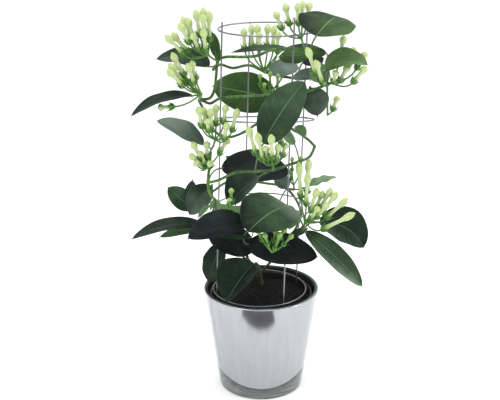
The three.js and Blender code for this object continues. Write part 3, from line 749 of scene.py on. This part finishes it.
def leaf_finish(name, upper, upper_light, painted_sheen, under, vein, shine):
    """upper, painted_sheen and under are the upper faces' fresh green, the grey green of a painted sheen and
    the lower faces' green.
    """
    material, recipe, place = new_finish(name)
    across = recipe.across(recipe.node("ShaderNodeAttribute", {"attribute_name": "blade"}, {}, "Vector"))
    along = across.other("Y")
    top = across.other("Z").step(-0.05, 0.05)
    out = abs(across)
    ladder = (along * SIDE_VEINS - (out ** 1.3) * 1.6).part()
    side_vein = (1 - abs(ladder - 0.5).step(0.0, 0.06)) * (1 - out.step(0.6, 0.95)) * out.step(0.02, 0.3)
    midrib = 1 - out.step(0.008, 0.045)
    # A thin painted highlight along the blade's edge
    margin_highlight = out.step(0.955, 0.995)
    mottle = recipe.noise(place, 30, 4, 0.6)
    fine = recipe.noise(place, 500, 3)
    wax = recipe.noise(place, 75, 3).step(0.35, 0.7)
    # Painted light: each leaf's value, with soft patches of noise, pales the upper face to a painted sheen
    # above nought and darkens it to painted shade below nought
    dull = recipe.node("ShaderNodeAttribute", {"attribute_name": "dull"}, {}, "Fac")
    dull = dull + (recipe.noise(place, 30, 3, 0.55) - 0.5) * 0.9
    face = recipe.mixed(mottle.step(0.3, 0.7), upper, upper_light)
    face = recipe.mixed(dull.step(0.0, 1.3), face, painted_sheen)
    face = recipe.mixed((-dull).step(0.0, 1.0), face, "#101711")
    face = recipe.mixed(side_vein * 0.14 + margin_highlight * 0.3, face, vein)
    face = recipe.mixed(midrib * 0.5, face, vein)
    back = recipe.mixed(mottle.step(0.25, 0.75) * 0.4, under, upper_light)
    back = recipe.mixed(side_vein * 0.2, back, vein)
    back = recipe.mixed(midrib * 0.7, back, vein)
    relief = 1 - midrib * 0.6 - side_vein * 0.35 + fine * 0.15 + mottle * 0.5
    recipe.surface({
        "Base Color": recipe.mixed(top, back, face), "Roughness": 0.6 - top * 0.27 + wax * 0.14,
        "Specular IOR Level": shine, "Normal": recipe.bumped(relief, 0.6 * MM),
    })
    return material


leaf_stalk, recipe, place = new_finish("leaf_stalk")
streak = recipe.noise(place, 260, 3)
recipe.surface({
    "Base Color": recipe.mixed(streak, "#385529", "#52743a"), "Roughness": 0.5,
    "Normal": recipe.bumped(streak, 0.3 * MM),
})


def marked(recipe, kind, geometry, name, value, domain="POINT"):
    """A shape with an attribute stored on it."""
    return recipe.node("GeometryNodeStoreNamedAttribute", {"data_type": kind, "domain": domain}, {
        "Geometry": geometry, "Name": name, "Value": value})


def mark(recipe, kind, name):
    """An attribute, read where it is asked for."""
    return recipe.node("GeometryNodeInputNamedAttribute", {"data_type": kind}, {"Name": name})


def leaf_form(finish):
    """The rule of a leaf, in its own frame: X across, Y from base to tip, Z out of its upper face."""
    recipe, size = new_form("leaf", leaf_sizes)
    grid = recipe.node("GeometryNodeMeshGrid", {}, {
        "Size X": 1.0, "Size Y": 1.0, "Vertices X": size["Rows"], "Vertices Y": size["Around"]})

    # Each row of the flat grid becomes a closed loop round the blade, from its base to its tip
    run = recipe.across(recipe.node("GeometryNodeInputPosition", {}, {}))
    share = 0.5 - ((run + 0.5) * math.pi).cosine() * 0.5
    turn = (run.other("Y") + 0.5) * (2 * math.pi)
    along = (share / TIP_START).least(1.0)
    point = ((share - TIP_START) / (1 - TIP_START)).most(0.0)
    across = turn.cosine().maths("SIGN", turn.cosine()) * abs(turn.cosine()) ** 1.4
    top = turn.sine()
    grid = marked(recipe, "FLOAT_VECTOR", grid, "blade", recipe.vector(X=across, Y=along, Z=top))
    # The share of painted sheen and painted shade on the blade, from the leaf's base, tip and side values
    wear_and_painted_light = recipe.across(size["Dull"])
    wear_and_painted_light = wear_and_painted_light + (wear_and_painted_light.other("Y") - wear_and_painted_light) * along + wear_and_painted_light.other("Z") * across
    grid = marked(recipe, "FLOAT", grid, "dull", wear_and_painted_light)

    # The outline, the fold along the midrib, and the ripple of the margin
    belly = ((along ** 0.92) * math.pi).sine().most(0.0) ** 0.55
    least_half = (1 - point) * (along * 60).least(1.0) * (0.8 * MM)
    half = (belly * size["Width"] * 0.5).most(least_half)
    keel = (across * across + 0.01) ** 0.5 - 0.1
    ripple = ((along * size["Waves"] + size["Phase"] + across * 0.15) * (2 * math.pi)).sine()
    slope = size["Sweep"] * (1 - along * 2) * 4
    side = half * across * size["Fold"].cosine() / (slope * slope + 1) ** 0.5
    cup = size["Wave"] * ripple - size["Curl"]
    rise = half * (keel * size["Fold"].sine() + cup * across * across)
    roll = size["Twist"] * (along - 0.3)

    # The blade's thickness, and the rib that stands out beneath
    thick = size["Thickness"] * (along * 30).least(1.0) * (1 - point * 0.9) * (1.1 - abs(across) * 0.5)
    rib = (-((across * half / (1.0 * MM)) ** 2)).exponent()
    rib = rib * (1 - along) * (0.6 * MM) * (along * 30).least(1.0)
    lift = thick * top * 0.5 - rib * (-top).most(0.0) - rib * 0.5

    # The arch and the droop of the whole, and the small bent point
    hump = along * (1 - along) * 4 * size["Length"]
    x = size["Sweep"] * hump + side * roll.cosine() - rise * roll.sine()
    y = size["Length"] * along - side * slope + point * (3.0 * MM)
    z = size["Arch"] * hump - size["Droop"] * size["Length"] * along ** 3
    z = z + side * roll.sine() + rise * roll.cosine() + lift - point * point * (2.4 * MM)
    blade = recipe.node("GeometryNodeSetPosition", {}, {
        "Geometry": grid, "Position": recipe.vector(X=x, Y=y, Z=z)})
    blade = recipe.node("GeometryNodeMergeByDistance", {}, {"Geometry": blade, "Distance": 0.01 * MM})

    path = recipe.node("GeometryNodeCurveQuadraticBezier", {}, {
        "Resolution": 10, "Start": size["Stalk"], "Middle": recipe.vector(Y=size["Length"] * -0.15),
        "End": recipe.vector(Y=size["Length"] * 0.03)})
    stalk = tube(recipe, path, PETIOLE_SIDES, size["Stalk radius"])
    stalk = marked(recipe, "BOOLEAN", stalk, "stalk", True, "FACE")
    finished(recipe, [blade, stalk], [(finish, None), (leaf_stalk, mark(recipe, "BOOLEAN", "stalk"))])
    return recipe


# The six greens are partly the leaves' own tones and partly painted light: black and deep are darkened as
# painted shade for leaves deep in the vine, and grey is lightened as a painted sheen for leaves that catch
# the light
leaf_greens = {
    "dark": ("#26382a", "#354933", "#84997f", "#58754e", "#6f8c64", 0.05),
    "deep": ("#1c2921", "#29392d", "#78897a", "#4c6645", "#566f52", 0.04),
    "black": ("#191d1e", "#232929", "#545f5b", "#1f2a24", "#2e3a34", 0.04),
    "middle": ("#2e4528", "#415b32", "#7c9a66", "#64834b", "#779658", 0.05),
    "grey": ("#2b3c33", "#3b4e42", "#8d9e90", "#6a8060", "#839a86", 0.08),
    "pale": ("#4d6b45", "#5f7d54", "#8ea587", "#7b9766", "#a3bd86", 0.08),
}
leaf_forms = {green: leaf_form(leaf_finish("leaf_" + green, *tones)) for green, tones in leaf_greens.items()}
leaf_start = bpy.data.meshes.new("leaf_start")


def blade_frame(base, tip, facing):
    """The leaf's own frame as a matrix, and its length."""
    axis = Vector(tip) - Vector(base)
    length = axis.length
    axis.normalize()
    side = Vector(facing).cross(axis).normalized()
    normal = axis.cross(side)
    turn = Matrix((side, axis, normal)).transposed().to_4x4()
    return Matrix.Translation(Vector(base) * MM) @ turn, length


def leaf_mesh(name, green, base, tip, width, facing, start, fold=8, twist=0, rows=44, around=33,
              thickness=BLADE, stalk_radius=PETIOLE, dull=(0, 0, 0), **shape):
    """A leaf from base to tip, on a stalk that begins at start. fold and twist are in degrees."""
    place, length = blade_frame(base, tip, facing)
    sizes = {size.capitalize(): float(value) for size, value in shape.items()}
    mesh = formed(name, leaf_start, leaf_forms[green], {
        **leaf_sizes, **sizes, "Length": length * MM, "Width": width * MM, "Fold": math.radians(fold),
        "Twist": math.radians(twist), "Dull": tuple(float(part) for part in dull),
        "Thickness": thickness * MM, "Rows": rows, "Around": around,
        "Stalk": tuple(place.inverted() @ (Vector(start) * MM)), "Stalk radius": stalk_radius * MM,
    })
    mesh.transform(place)
    return mesh


def stalk_start(joint, toward):
    """A place under the joint's bark, on the side that the stalk leaves by."""
    at = Vector(joints[joint])
    return at + (Vector(toward) - at).normalized() * STALK_ROOT


def small_leaf(name, joint, green, base, tip, width, facing, **shape):
    """A leaf grown from a joint of the vine. facing points out of its upper face."""
    mesh = leaf_mesh(name, green, base, tip, width, facing, stalk_start(joint, base), **shape)
    leaf = new_piece("leaf_" + name, mesh)
    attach(leaf, "root")
    return leaf


def grow_leaf(name, *sizes, **shape):
    """A leaf that takes the place of the solid of its name."""
    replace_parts(small_leaf(name, *sizes, **shape), "leaf_" + name)


grow_leaf("crown_right_broad", "crown_right", "middle", (57, -56, 441), (83, -14, 458), 66,
          (0, -0.4, 0.92), arch=0.05, fold=6, sweep=0, droop=0.04, wave=0.04, phase=0.3,
          dull=(-0.5, -0.3, -0.3))
grow_leaf("crown_right_hood", "right_high", "middle", (70, -46, 402), (115, -36, 408), 36,
          (-0.12, -0.54, 0.84), arch=0.03, fold=34, sweep=0.14, droop=0.04, wave=0.04, dull=(0.25, 0.6, -0.1))
grow_leaf("right_round", "right_shoulder", "deep", (54, -30, 380), (61, -44, 352), 33,
          (0.1, -0.85, 0.5), arch=0.12, fold=14, curl=0.1, wave=0.06, dull=(0.3, 0.45, 0.2))
grow_leaf("front_long", "mid_left", "dark", (1, -67, 326), (45, -58, 392), 45,
          (-0.35, -0.9, 0.3), arch=0.1, fold=14, wave=0.03, waves=3, phase=0.2, dull=(-0.1, 0.1, 0.1))
grow_leaf("left_grey", "left_shoulder", "grey", (-66, -18, 313), (-117, -38, 344), 32,
          (0.24, -0.57, 0.78), arch=0.05, fold=30, sweep=0.05, wave=0.05, phase=0.6, dull=(0.1, 1.1, 0))
grow_leaf("left_upper_long", "left_high", "deep", (-77, -30, 371), (-145, -46, 355), 35,
          (-0.1, -0.12, 1), arch=0.065, fold=8, droop=0.05, curl=-0.1, dull=(-0.5, -0.4, 0))
grow_leaf("crown_left", "left_top", "deep", (-59, -27, 403), (-118, -8, 410), 36,
          (0.05, -0.4, 0.9), arch=0.05, fold=14, sweep=-0.06, droop=0.03, wave=0.04, dull=(-0.2, 0.1, 0))
grow_leaf("back_broad", "back_arch", "middle", (19, 76, 345), (-58, 72, 361), 50,
          (0, -0.95, 0.3), arch=0.05, fold=6, wave=0.04, waves=3, dull=(-0.3, -0.2, -0.2))
grow_leaf("crown_back_edge", "back_top", "black", (27, 68, 406), (73, 62, 407), 21,
          (0, -0.2, 0.98), arch=0.08, fold=4)
grow_leaf("crown_front_edge", "top_front", "dark", (30, -42, 425), (-33, -34, 420), 14,
          (0.05, -0.36, 0.93), arch=0.05, fold=6, dull=(-0.3, -0.3, 0))
grow_leaf("inner_grey", "back_spur", "grey", (8, 46, 385), (44, 42, 389), 34,
          (0, -0.5, 0.87), arch=0.1, fold=8, curl=0.15, dull=(0.35, 0.5, 0))
grow_leaf("inner_green", "crown_right", "middle", (51, -20, 413), (19, -10, 411), 22,
          (0, -0.75, 0.65), arch=0.08, fold=12, curl=0.2, wave=0.08, dull=(0.2, 0.1, 0))
grow_leaf("inner_dark", "back_end", "black", (47, 14, 400), (71, 22, 404), 24,
          (0.1, -0.6, 0.8), arch=0.1, fold=6)
grow_leaf("right_pale", "right_high", "pale", (75, 2, 397), (56, -4, 384), 26,
          (0, -0.85, 0.5), arch=0.08, fold=8, dull=(0.3, 0.5, 0))
grow_leaf("middle_black", "left_rise", "black", (-47, 4, 277), (33, 16, 269), 50,
          (0, -0.55, 0.83), arch=0.08, fold=6, wave=0.03)
grow_leaf("front_hanging", "mid_front", "deep", (-3, -31, 277), (-38, -24, 242), 50,
          (-0.4, -0.63, 0.62), arch=0.05, fold=36, wave=0.05, phase=0.4, dull=(0.6, -0.5, 0.1))
grow_leaf("front_broad", "right_low", "dark", (30, -52, 249), (-15, -104, 238), 72,
          (-0.04, -0.5, 0.87), arch=0.1, fold=8, droop=0.02, twist=6, wave=0.04, phase=0.1,
          dull=(0.75, -0.85, 0.25))
grow_leaf("low_left_front", "front_turn", "black", (-17, -66, 233), (-82, -84, 223), 44,
          (-0.13, -0.6, 0.78), arch=0.04, fold=34, droop=0.03, wave=0.03, dull=(0, 0.15, 0))
grow_leaf("low_left_long", "left_bend", "deep", (-65, -24, 215), (-151, -34, 205), 36,
          (0, -0.1, 1), arch=0.09, fold=8, droop=0.03, wave=0.02, dull=(-0.6, -0.5, 0))
grow_leaf("left_folded_front", "side_left", "deep", (-60, 6, 255), (-85, -6, 223), 32,
          (-0.15, -0.85, 0.5), arch=0.1, fold=20, curl=-0.1, wave=0.04, dull=(0.35, 0.35, 0.1))
grow_leaf("left_folded_back", "side_left", "dark", (-84, 16, 221), (-112, 22, 247), 26,
          (0.1, -0.85, 0.5), arch=0.06, fold=16, curl=-0.1, wave=0.05, dull=(0, 0.1, 0))
grow_leaf("rim_left", "low_left", "deep", (-46, 6, 182), (-64, 8, 130), 30,
          (-0.45, -0.85, 0.3), arch=0.1, fold=10, wave=0.05, waves=3, dull=(-0.1, -0.1, 0))
grow_leaf("soil_front", "trunk", "deep", (-8, -20, 166), (-40, -60, 134), 64,
          (-0.45, -0.68, 0.57), arch=0.08, fold=37, wave=0.03, phase=0.5, dull=(0.05, 0.1, 0.05))
grow_leaf("bottom_left_dark", "low_front", "black", (-8, -48, 198), (-60, -56, 211), 42,
          (0, -0.6, 0.8), arch=0.06, fold=5)
grow_leaf("bottom_right_dark", "front_turn", "black", (-17, -56, 204), (62, -72, 195), 40,
          (0.05, -0.7, 0.7), arch=0.06, fold=5)
grow_leaf("right_drooping", "right_low", "dark", (49, -68, 224), (113, -90, 168), 26,
          (-0.15, -0.55, 0.8), arch=0.06, fold=16, droop=0.04, twist=8, wave=0.03, waves=3,
          dull=(-0.3, 0.5, -0.4))
grow_leaf("right_low_broad", "right_low", "deep", (67, -32, 222), (119, -38, 194), 50,
          (0.2, -0.75, 0.63), arch=0.1, fold=25, sweep=0.12, droop=0.03, wave=0.04, dull=(0.1, -0.1, -0.35))
grow_leaf("right_thin", "inner_right", "pale", (53, 14, 250), (90, 24, 260), 22,
          (0.1, -0.02, 1), arch=0.04, fold=10, wave=0.08, waves=3, dull=(0.2, 0.6, 0))
grow_leaf("back_small", "inner_right", "grey", (33, 28, 245), (17, 36, 258), 20,
          (0.2, -0.8, 0.6), arch=0.06, fold=8, dull=(0.4, 0.5, 0))
grow_leaf("back_upper", "back_end", "dark", (38, 88, 350), (25, 134, 322), 44,
          (0, 0.5, 0.86), arch=0.1, fold=10)
grow_leaf("back_middle", "back_left", "deep", (-18, 84, 266), (-27, 128, 240), 46,
          (0, 0.5, 0.86), arch=0.1, fold=10)
grow_leaf("back_low_left", "back_left", "dark", (-32, 80, 204), (-46, 128, 168), 48,
          (0, 0.5, 0.86), arch=0.1, fold=8)
grow_leaf("back_low_right", "low_back", "deep", (20, 88, 192), (40, 132, 154), 48,
          (0, 0.5, 0.86), arch=0.12, fold=10)

# Young leaves, bracts and edges of leaves too small to have solids
small_leaf("behind_crown", "left_top", "middle", (-51, -8, 410), (-56, -2, 437), 12,
           (0.1, -0.9, 0.3), arch=0.08, fold=10, stalk_radius=0.8)
small_leaf("left_lobe", "side_left", "deep", (-88, 20, 225), (-83, 22, 256), 17,
           (0.2, -0.9, 0.3), arch=0.08, fold=12, stalk_radius=0.8, dull=(0.1, 0.2, 0))
small_leaf("under_strip", "left_bend", "pale", (-70, -12, 208), (-119, -24, 201), 15,
           (0, -0.5, 0.85), arch=0.06, fold=8, stalk_radius=0.8, dull=(0.2, 0.4, 0))
small_leaf("grey_sliver", "right_high", "grey", (70, 20, 387), (35, 14, 382), 16,
           (0, -0.75, 0.65), arch=0.08, fold=8, stalk_radius=0.8, dull=(0.4, 0.5, 0))
small_leaf("young_fold", "right_curve", "pale", (36, -48, 320), (19, -54, 345), 12,
           (-0.2, -0.9, 0.3), arch=0.1, fold=24, stalk_radius=0.8, dull=(0.2, 0.4, 0))
small_leaf("inner_young", "back_turn", "pale", (41, 26, 322), (53, 25, 312), 13,
           (0, -0.8, 0.6), arch=0.1, fold=8, stalk_radius=0.7)
small_leaf("crown_olive", "right_high", "middle", (72, -8, 415), (45, 0, 411), 15,
           (0, -0.8, 0.6), arch=0.08, fold=8, stalk_radius=0.8)
small_leaf("front_strip", "front_turn", "dark", (-14, -62, 214), (-54, -67, 219), 6,
           (0, -0.8, 0.6), arch=0.03, fold=4, stalk_radius=0.7)
small_leaf("right_strip", "right_low", "grey", (52, -46, 219), (30, -53, 212), 9,
           (0, -0.8, 0.6), arch=0.05, fold=4, stalk_radius=0.7)
small_leaf("lower_bract", "left_bend", "pale", (-60, -35, 244), (-73, -37, 230), 7,
           (-0.3, -0.8, 0.5), arch=0.1, fold=14, stalk_radius=0.7)
small_leaf("upper_bract", "left_bend", "pale", (-55, -36, 251), (-59, -38, 240), 5,
           (-0.2, -0.9, 0.3), arch=0.1, fold=10, stalk_radius=0.7)


# ---- Bud clusters ----
# Long waxy flower buds in bunches, each on a thin green stalk with five small sepals round its
# foot. A bud is green at the foot, pales up its tube, and swells to a twisted, almost cream head.

PEDICEL = 0.95
PEDUNCLE = 1.2
STALK_SIDES = 7
STALK_SAG = 0.12
END_SWELL = 1.35
SEPALS = 5
BUD_ROWS = 22
BUD_TWIST = 1.3

stalk_green, recipe, place = new_finish("stalk_green")
streak = recipe.noise(place, 300, 3)
recipe.surface({
    "Base Color": recipe.mixed(streak, "#3d6a2c", "#5b8c3b"), "Roughness": 0.5,
    "Specular IOR Level": 0.35, "Normal": recipe.bumped(streak, 0.2 * MM),
})


def bud_finish(name, stops):
    """stops are the greens up the bud, from its foot to its tip."""
    material, recipe, place = new_finish(name)
    along = recipe.node("ShaderNodeAttribute", {"attribute_name": "up_bud"}, {}, "Fac")
    blush = recipe.noise(place, 90, 2)
    height = along + (blush - 0.5) * 0.16
    recipe.surface({
        "Base Color": recipe.node("ShaderNodeValToRGB", {"stops": stops}, {"Fac": height}, "Color"),
        "Roughness": 0.38 + blush * 0.15, "Specular IOR Level": 0.45,
        "Subsurface Weight": 0.12, "Subsurface Radius": (0.003, 0.004, 0.001), "Subsurface Scale": 0.3,
        "Normal": recipe.bumped(recipe.noise(place, 420, 2), 0.1 * MM),
    })
    return material


ripe_bud = bud_finish("ripe_bud", [
    (0.0, "#5a8438"), (0.12, "#84a356"), (0.3, "#a9bd80"), (0.5, "#bac89a"),
    (0.66, "#b9c894"), (0.82, "#b1c184"), (1.0, "#9ab069"),
])
# Young buds: greener than ripe ones, and darker towards the head as painted shade for the shade they grow in
young_bud = bud_finish("young_bud", [
    (0.0, "#3f6b2b"), (0.4, "#557f36"), (0.75, "#7a9f4c"), (1.0, "#94b35f"),
])

corners = []
faces = []
for k in range(SEPALS):
    angle = 2 * math.pi * k / SEPALS
    out = Vector((math.cos(angle), math.sin(angle), 0))
    foot = out * 1.5 + Vector((0, 0, -0.8))
    peak = out * 4.5 + Vector((0, 0, 6))
    sepal = leaf_mesh("sepal", "pale", foot, peak, 4.2, -out, foot * 0.6, rows=7, around=9,
                      thickness=0.5, stalk_radius=0.5, arch=-0.12, wave=0)
    first = len(corners)
    corners += [tuple(v.co) for v in sepal.vertices]
    faces += [[first + i for i in face.vertices] for face in sepal.polygons]
calyx = bpy.data.objects.new("calyx", bpy.data.meshes.new("calyx"))
calyx.data.from_pydata(corners, [], faces)
bpy.context.scene.collection.objects.link(calyx)
cluster_sizes = {"Bud radius": 5 * MM, "Calyx": calyx, "Lobes": 0.09}


def cluster_form(finish):
    """Stalks along the start mesh's edges, and a bud with its calyx on each of its marked points."""
    recipe, size = new_form("bud_cluster", cluster_sizes)

    # One bud, a unit high: a five-lobed ring drawn up a twisted line, which swells at its head
    ring = recipe.node("GeometryNodeCurvePrimitiveCircle", {}, {"Resolution": 3 * SEPALS, "Radius": 1.0})
    here = recipe.node("GeometryNodeInputPosition", {}, {})
    x = recipe.across(here)
    petals = (x.maths("ARCTAN2", x.other("Y"), x) * SEPALS).cosine()
    lobed = recipe.node("ShaderNodeVectorMath", {"operation": "SCALE"}, {
        "Vector": here, "Scale": petals * size["Lobes"] + 1})
    ring = recipe.node("GeometryNodeSetPosition", {}, {"Geometry": ring, "Position": lobed})
    line = recipe.node("GeometryNodeCurvePrimitiveLine", {}, {"End": (0.0, 0.0, 1.0)})
    line = recipe.node("GeometryNodeResampleCurve", {}, {"Curve": line, "Count": BUD_ROWS})
    up = recipe.node("GeometryNodeSplineParameter", {}, {})
    line = marked(recipe, "FLOAT", line, "up_bud", up)
    line = recipe.node("GeometryNodeSetCurveTilt", {}, {"Curve": line, "Tilt": up * BUD_TWIST})
    swell = recipe.node("ShaderNodeFloatCurve", {"points": [
        (0.0, 0.28), (0.05, 0.48), (0.14, 0.52), (0.3, 0.43), (0.5, 0.4), (0.6, 0.45), (0.68, 0.62),
        (0.75, 0.77), (0.82, 0.78), (0.89, 0.64), (0.94, 0.42), (0.975, 0.2), (1.0, 0.03)]}, {"Value": up})
    bud = recipe.node("GeometryNodeCurveToMesh", {}, {
        "Curve": line, "Profile Curve": ring, "Scale": swell * size["Bud radius"], "Fill Caps": True})
    bud = marked(recipe, "BOOLEAN", bud, "is_bud", True, "FACE")

    # The buds, their calyxes and the stalks that carry them
    girth = mark(recipe, "FLOAT", "girth")
    length = mark(recipe, "FLOAT", "bud_length")
    calyx_shape = recipe.node("GeometryNodeObjectInfo", {}, {"Object": size["Calyx"]}, "Geometry")
    on_tips = {
        "Points": size["Geometry"], "Selection": length.step(0.001 * MM, 0.002 * MM),
        "Rotation": recipe.node("FunctionNodeAlignRotationToVector", {"axis": "Z"}, {
            "Vector": mark(recipe, "FLOAT_VECTOR", "heading")}),
    }
    buds = recipe.node("GeometryNodeInstanceOnPoints", {}, {
        **on_tips, "Instance": bud, "Scale": recipe.vector(X=girth, Y=girth, Z=length)})
    cups = recipe.node("GeometryNodeInstanceOnPoints", {}, {
        **on_tips, "Instance": calyx_shape, "Scale": recipe.vector(X=girth, Y=girth, Z=girth)})
    stalks = tube(recipe, recipe.node("GeometryNodeMeshToCurve", {}, {"Mesh": size["Geometry"]}),
                  STALK_SIDES, 1.0, mark(recipe, "FLOAT", "thickness"))
    finished(recipe, [stalks, cups, buds], [(stalk_green, None), (finish, mark(recipe, "BOOLEAN", "is_bud"))])
    return recipe


cluster_forms = {"bud": cluster_form(ripe_bud), "young_bud": cluster_form(young_bud)}


def bent(start, bend, end, steps):
    """Places along a stalk that leaves its start towards the bend and comes to its end from there."""
    shares = [k / steps for k in range(steps + 1)]
    return [start * (1 - s) ** 2 + bend * 2 * s * (1 - s) + end * s ** 2 for s in shares]


def grow_cluster(name, joint, hub, rise, buds, girth=1.0):
    """A bunch of buds, each given by its tip, measured from the hub, and its length."""
    hub = Vector(hub)
    runs = []
    start = stalk_start(joint, hub)
    lean = Vector((0, 0, (hub - start).length * STALK_SAG))
    runs.append((bent(start, (start + hub) / 2 - lean, hub, 8), PEDUNCLE, None, 0))
    for dx, dy, dz, length in buds:
        offset = Vector((dx, dy, dz))
        heading = offset.normalized().lerp(Vector((0, 0, 1)), rise).normalized()
        length = min(length, offset.length * 0.85)
        foot = hub + offset - heading * length
        bend = foot - heading * (foot - hub).length * 0.45
        runs.append((bent(hub, bend, foot, 7), PEDICEL, heading, length))
    corners = []
    edges = []
    marks = {"thickness": [], "girth": [], "bud_length": [], "heading": []}
    for run, thick, heading, length in runs:
        for k, corner in enumerate(run):
            last = k == len(run) - 1
            if k:
                edges.append((len(corners) - 1, len(corners)))
            corners.append(corner * MM)
            marks["thickness"].append(thick * MM * (END_SWELL if k == 0 or last else 1))
            marks["girth"].append(girth)
            marks["bud_length"].append(length * MM if last else 0)
            marks["heading"].append(heading or Vector((0, 0, 1)))
    start_mesh = bpy.data.meshes.new(name)
    start_mesh.from_pydata(corners, edges, [])
    for label in ("thickness", "girth", "bud_length"):
        start_mesh.attributes.new(label, "FLOAT", "POINT").data.foreach_set("value", marks[label])
    flat = [number for heading in marks["heading"] for number in heading]
    start_mesh.attributes.new("heading", "FLOAT_VECTOR", "POINT").data.foreach_set("vector", flat)
    slot = "young_bud" if girth < 1 else "bud"
    cluster = new_piece("buds_" + name, formed(name, start_mesh, cluster_forms[slot], cluster_sizes))
    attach(cluster, "root")
    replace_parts(cluster, "buds_" + name)


grow_cluster("crown_left", "left_top", (-59, -38, 418), 0.35, [
    (-45, -14, 24, 30), (-39, -4, 25, 29), (-28, 4, 41, 27), (-22, -10, 42, 29), (-30, -16, 37, 26),
    (-13, -6, 50, 30), (-5, 4, 51, 31), (2, -4, 48, 33), (-5, -16, 47, 26), (-4, -24, 32, 28),
    (-16, -22, 27, 22),
])
grow_cluster("left_upper", "left_high", (-67, -44, 376), 0.2, [
    (-31, -6, 47, 30), (-29, 4, 36, 30), (-34, -12, 36, 29), (-35, -20, 31, 28), (-14, -16, 37, 27),
    (-10, -4, 38, 22), (-49, 4, -16, 18),
])
grow_cluster("crown_centre", "back_top", (3, 34, 388), 0.85, [
    (-24, -6, 50, 26), (-15, 4, 53, 29), (-8, -6, 54, 28), (-6, -14, 47, 22), (4, 6, 53, 28),
    (11, -4, 53, 29), (16, -10, 47, 25),
])
grow_cluster("crown_right", "crown_right", (44, -4, 431), 0.5, [
    (-30, -10, 31, 22), (-19, -2, 39, 25), (-5, -6, 40, 25), (1, 4, 41, 24), (9, 8, 39, 24),
])
grow_cluster("right_outer", "right_high", (76, -38, 387), 0.4, [
    (-29, -20, 43, 34), (-20, -24, 30, 32), (14, 18, 50, 26), (26, 18, 37, 24), (39, 16, 32, 22),
    (38, -2, 19, 24), (4, -10, 16, 22), (18, 0, 20, 21),
])
grow_cluster("inner_green", "back_spur", (10, 24, 365), 0.9, [
    (-12, -4, 22, 16), (0, 4, 23, 18), (9, 0, 21, 18), (-7, -8, 12, 12),
], girth=0.65)
grow_cluster("left_middle", "left_shoulder", (-52, -50, 326), 0.6, [
    (-18, -10, 40, 25), (-13, 2, 37, 25), (-5, -6, 37, 27), (1, 6, 39, 24), (12, 4, 39, 22),
    (25, 2, 35, 27), (-8, -18, 28, 16), (14, -14, 23, 22),
])
grow_cluster("left_lower", "left_middle", (-61, -46, 292), 0.1, [
    (-20, -6, 18, 26), (-15, -10, 10, 20), (-9, -4, 21, 20), (-17, -2, 31, 24), (4, -14, 10, 12),
    (-1, 6, 30, 20), (24, 12, 32, 22),
])
grow_cluster("front_middle", "mid_front", (12, -72, 303), 0.5, [
    (-28, -8, 46, 34), (-18, -16, 41, 34), (-3, -20, 40, 30), (5, -12, 27, 20), (-9, -12, 25, 18),
    (14, 4, 24, 16), (11, 2, 41, 20),
])
grow_cluster("right_big", "right_low", (48, -65, 234), 0.25, [
    (-8, 4, 70, 42), (4, 14, 71, 40), (2, -6, 61, 40), (13, -4, 42, 30), (21, 10, 34, 24),
    (30, 8, 38, 28), (36, 2, 35, 30), (48, 4, 27, 34), (55, -14, 16, 44), (26, -4, 25, 24),
    (15, -6, 21, 20),
])
grow_cluster("under_broad", "front_turn", (11, -88, 207), 0.15, [
    (-17, -6, 29, 16), (-9, -12, 27, 18), (9, -8, 27, 24), (23, -2, 22, 18), (4, 2, 27, 16),
    (14, 0, 28, 14),
], girth=0.75)
grow_cluster("stem_pair", "front_left", (-36, -79, 258), 0.9, [
    (2, 0, 21, 17), (0, -6, 11, 10),
], girth=0.8)
grow_cluster("right_single", "right_high", (75, -12, 345), 0.3, [
    (11, 0, 22, 18),
])
grow_cluster("back_tall", "inner_right", (39, 18, 252), 0.8, [
    (-2, 6, 34, 18), (9, 10, 34, 16), (-4, 6, 18, 14),
], girth=0.6)
bpy.data.objects.remove(calyx)
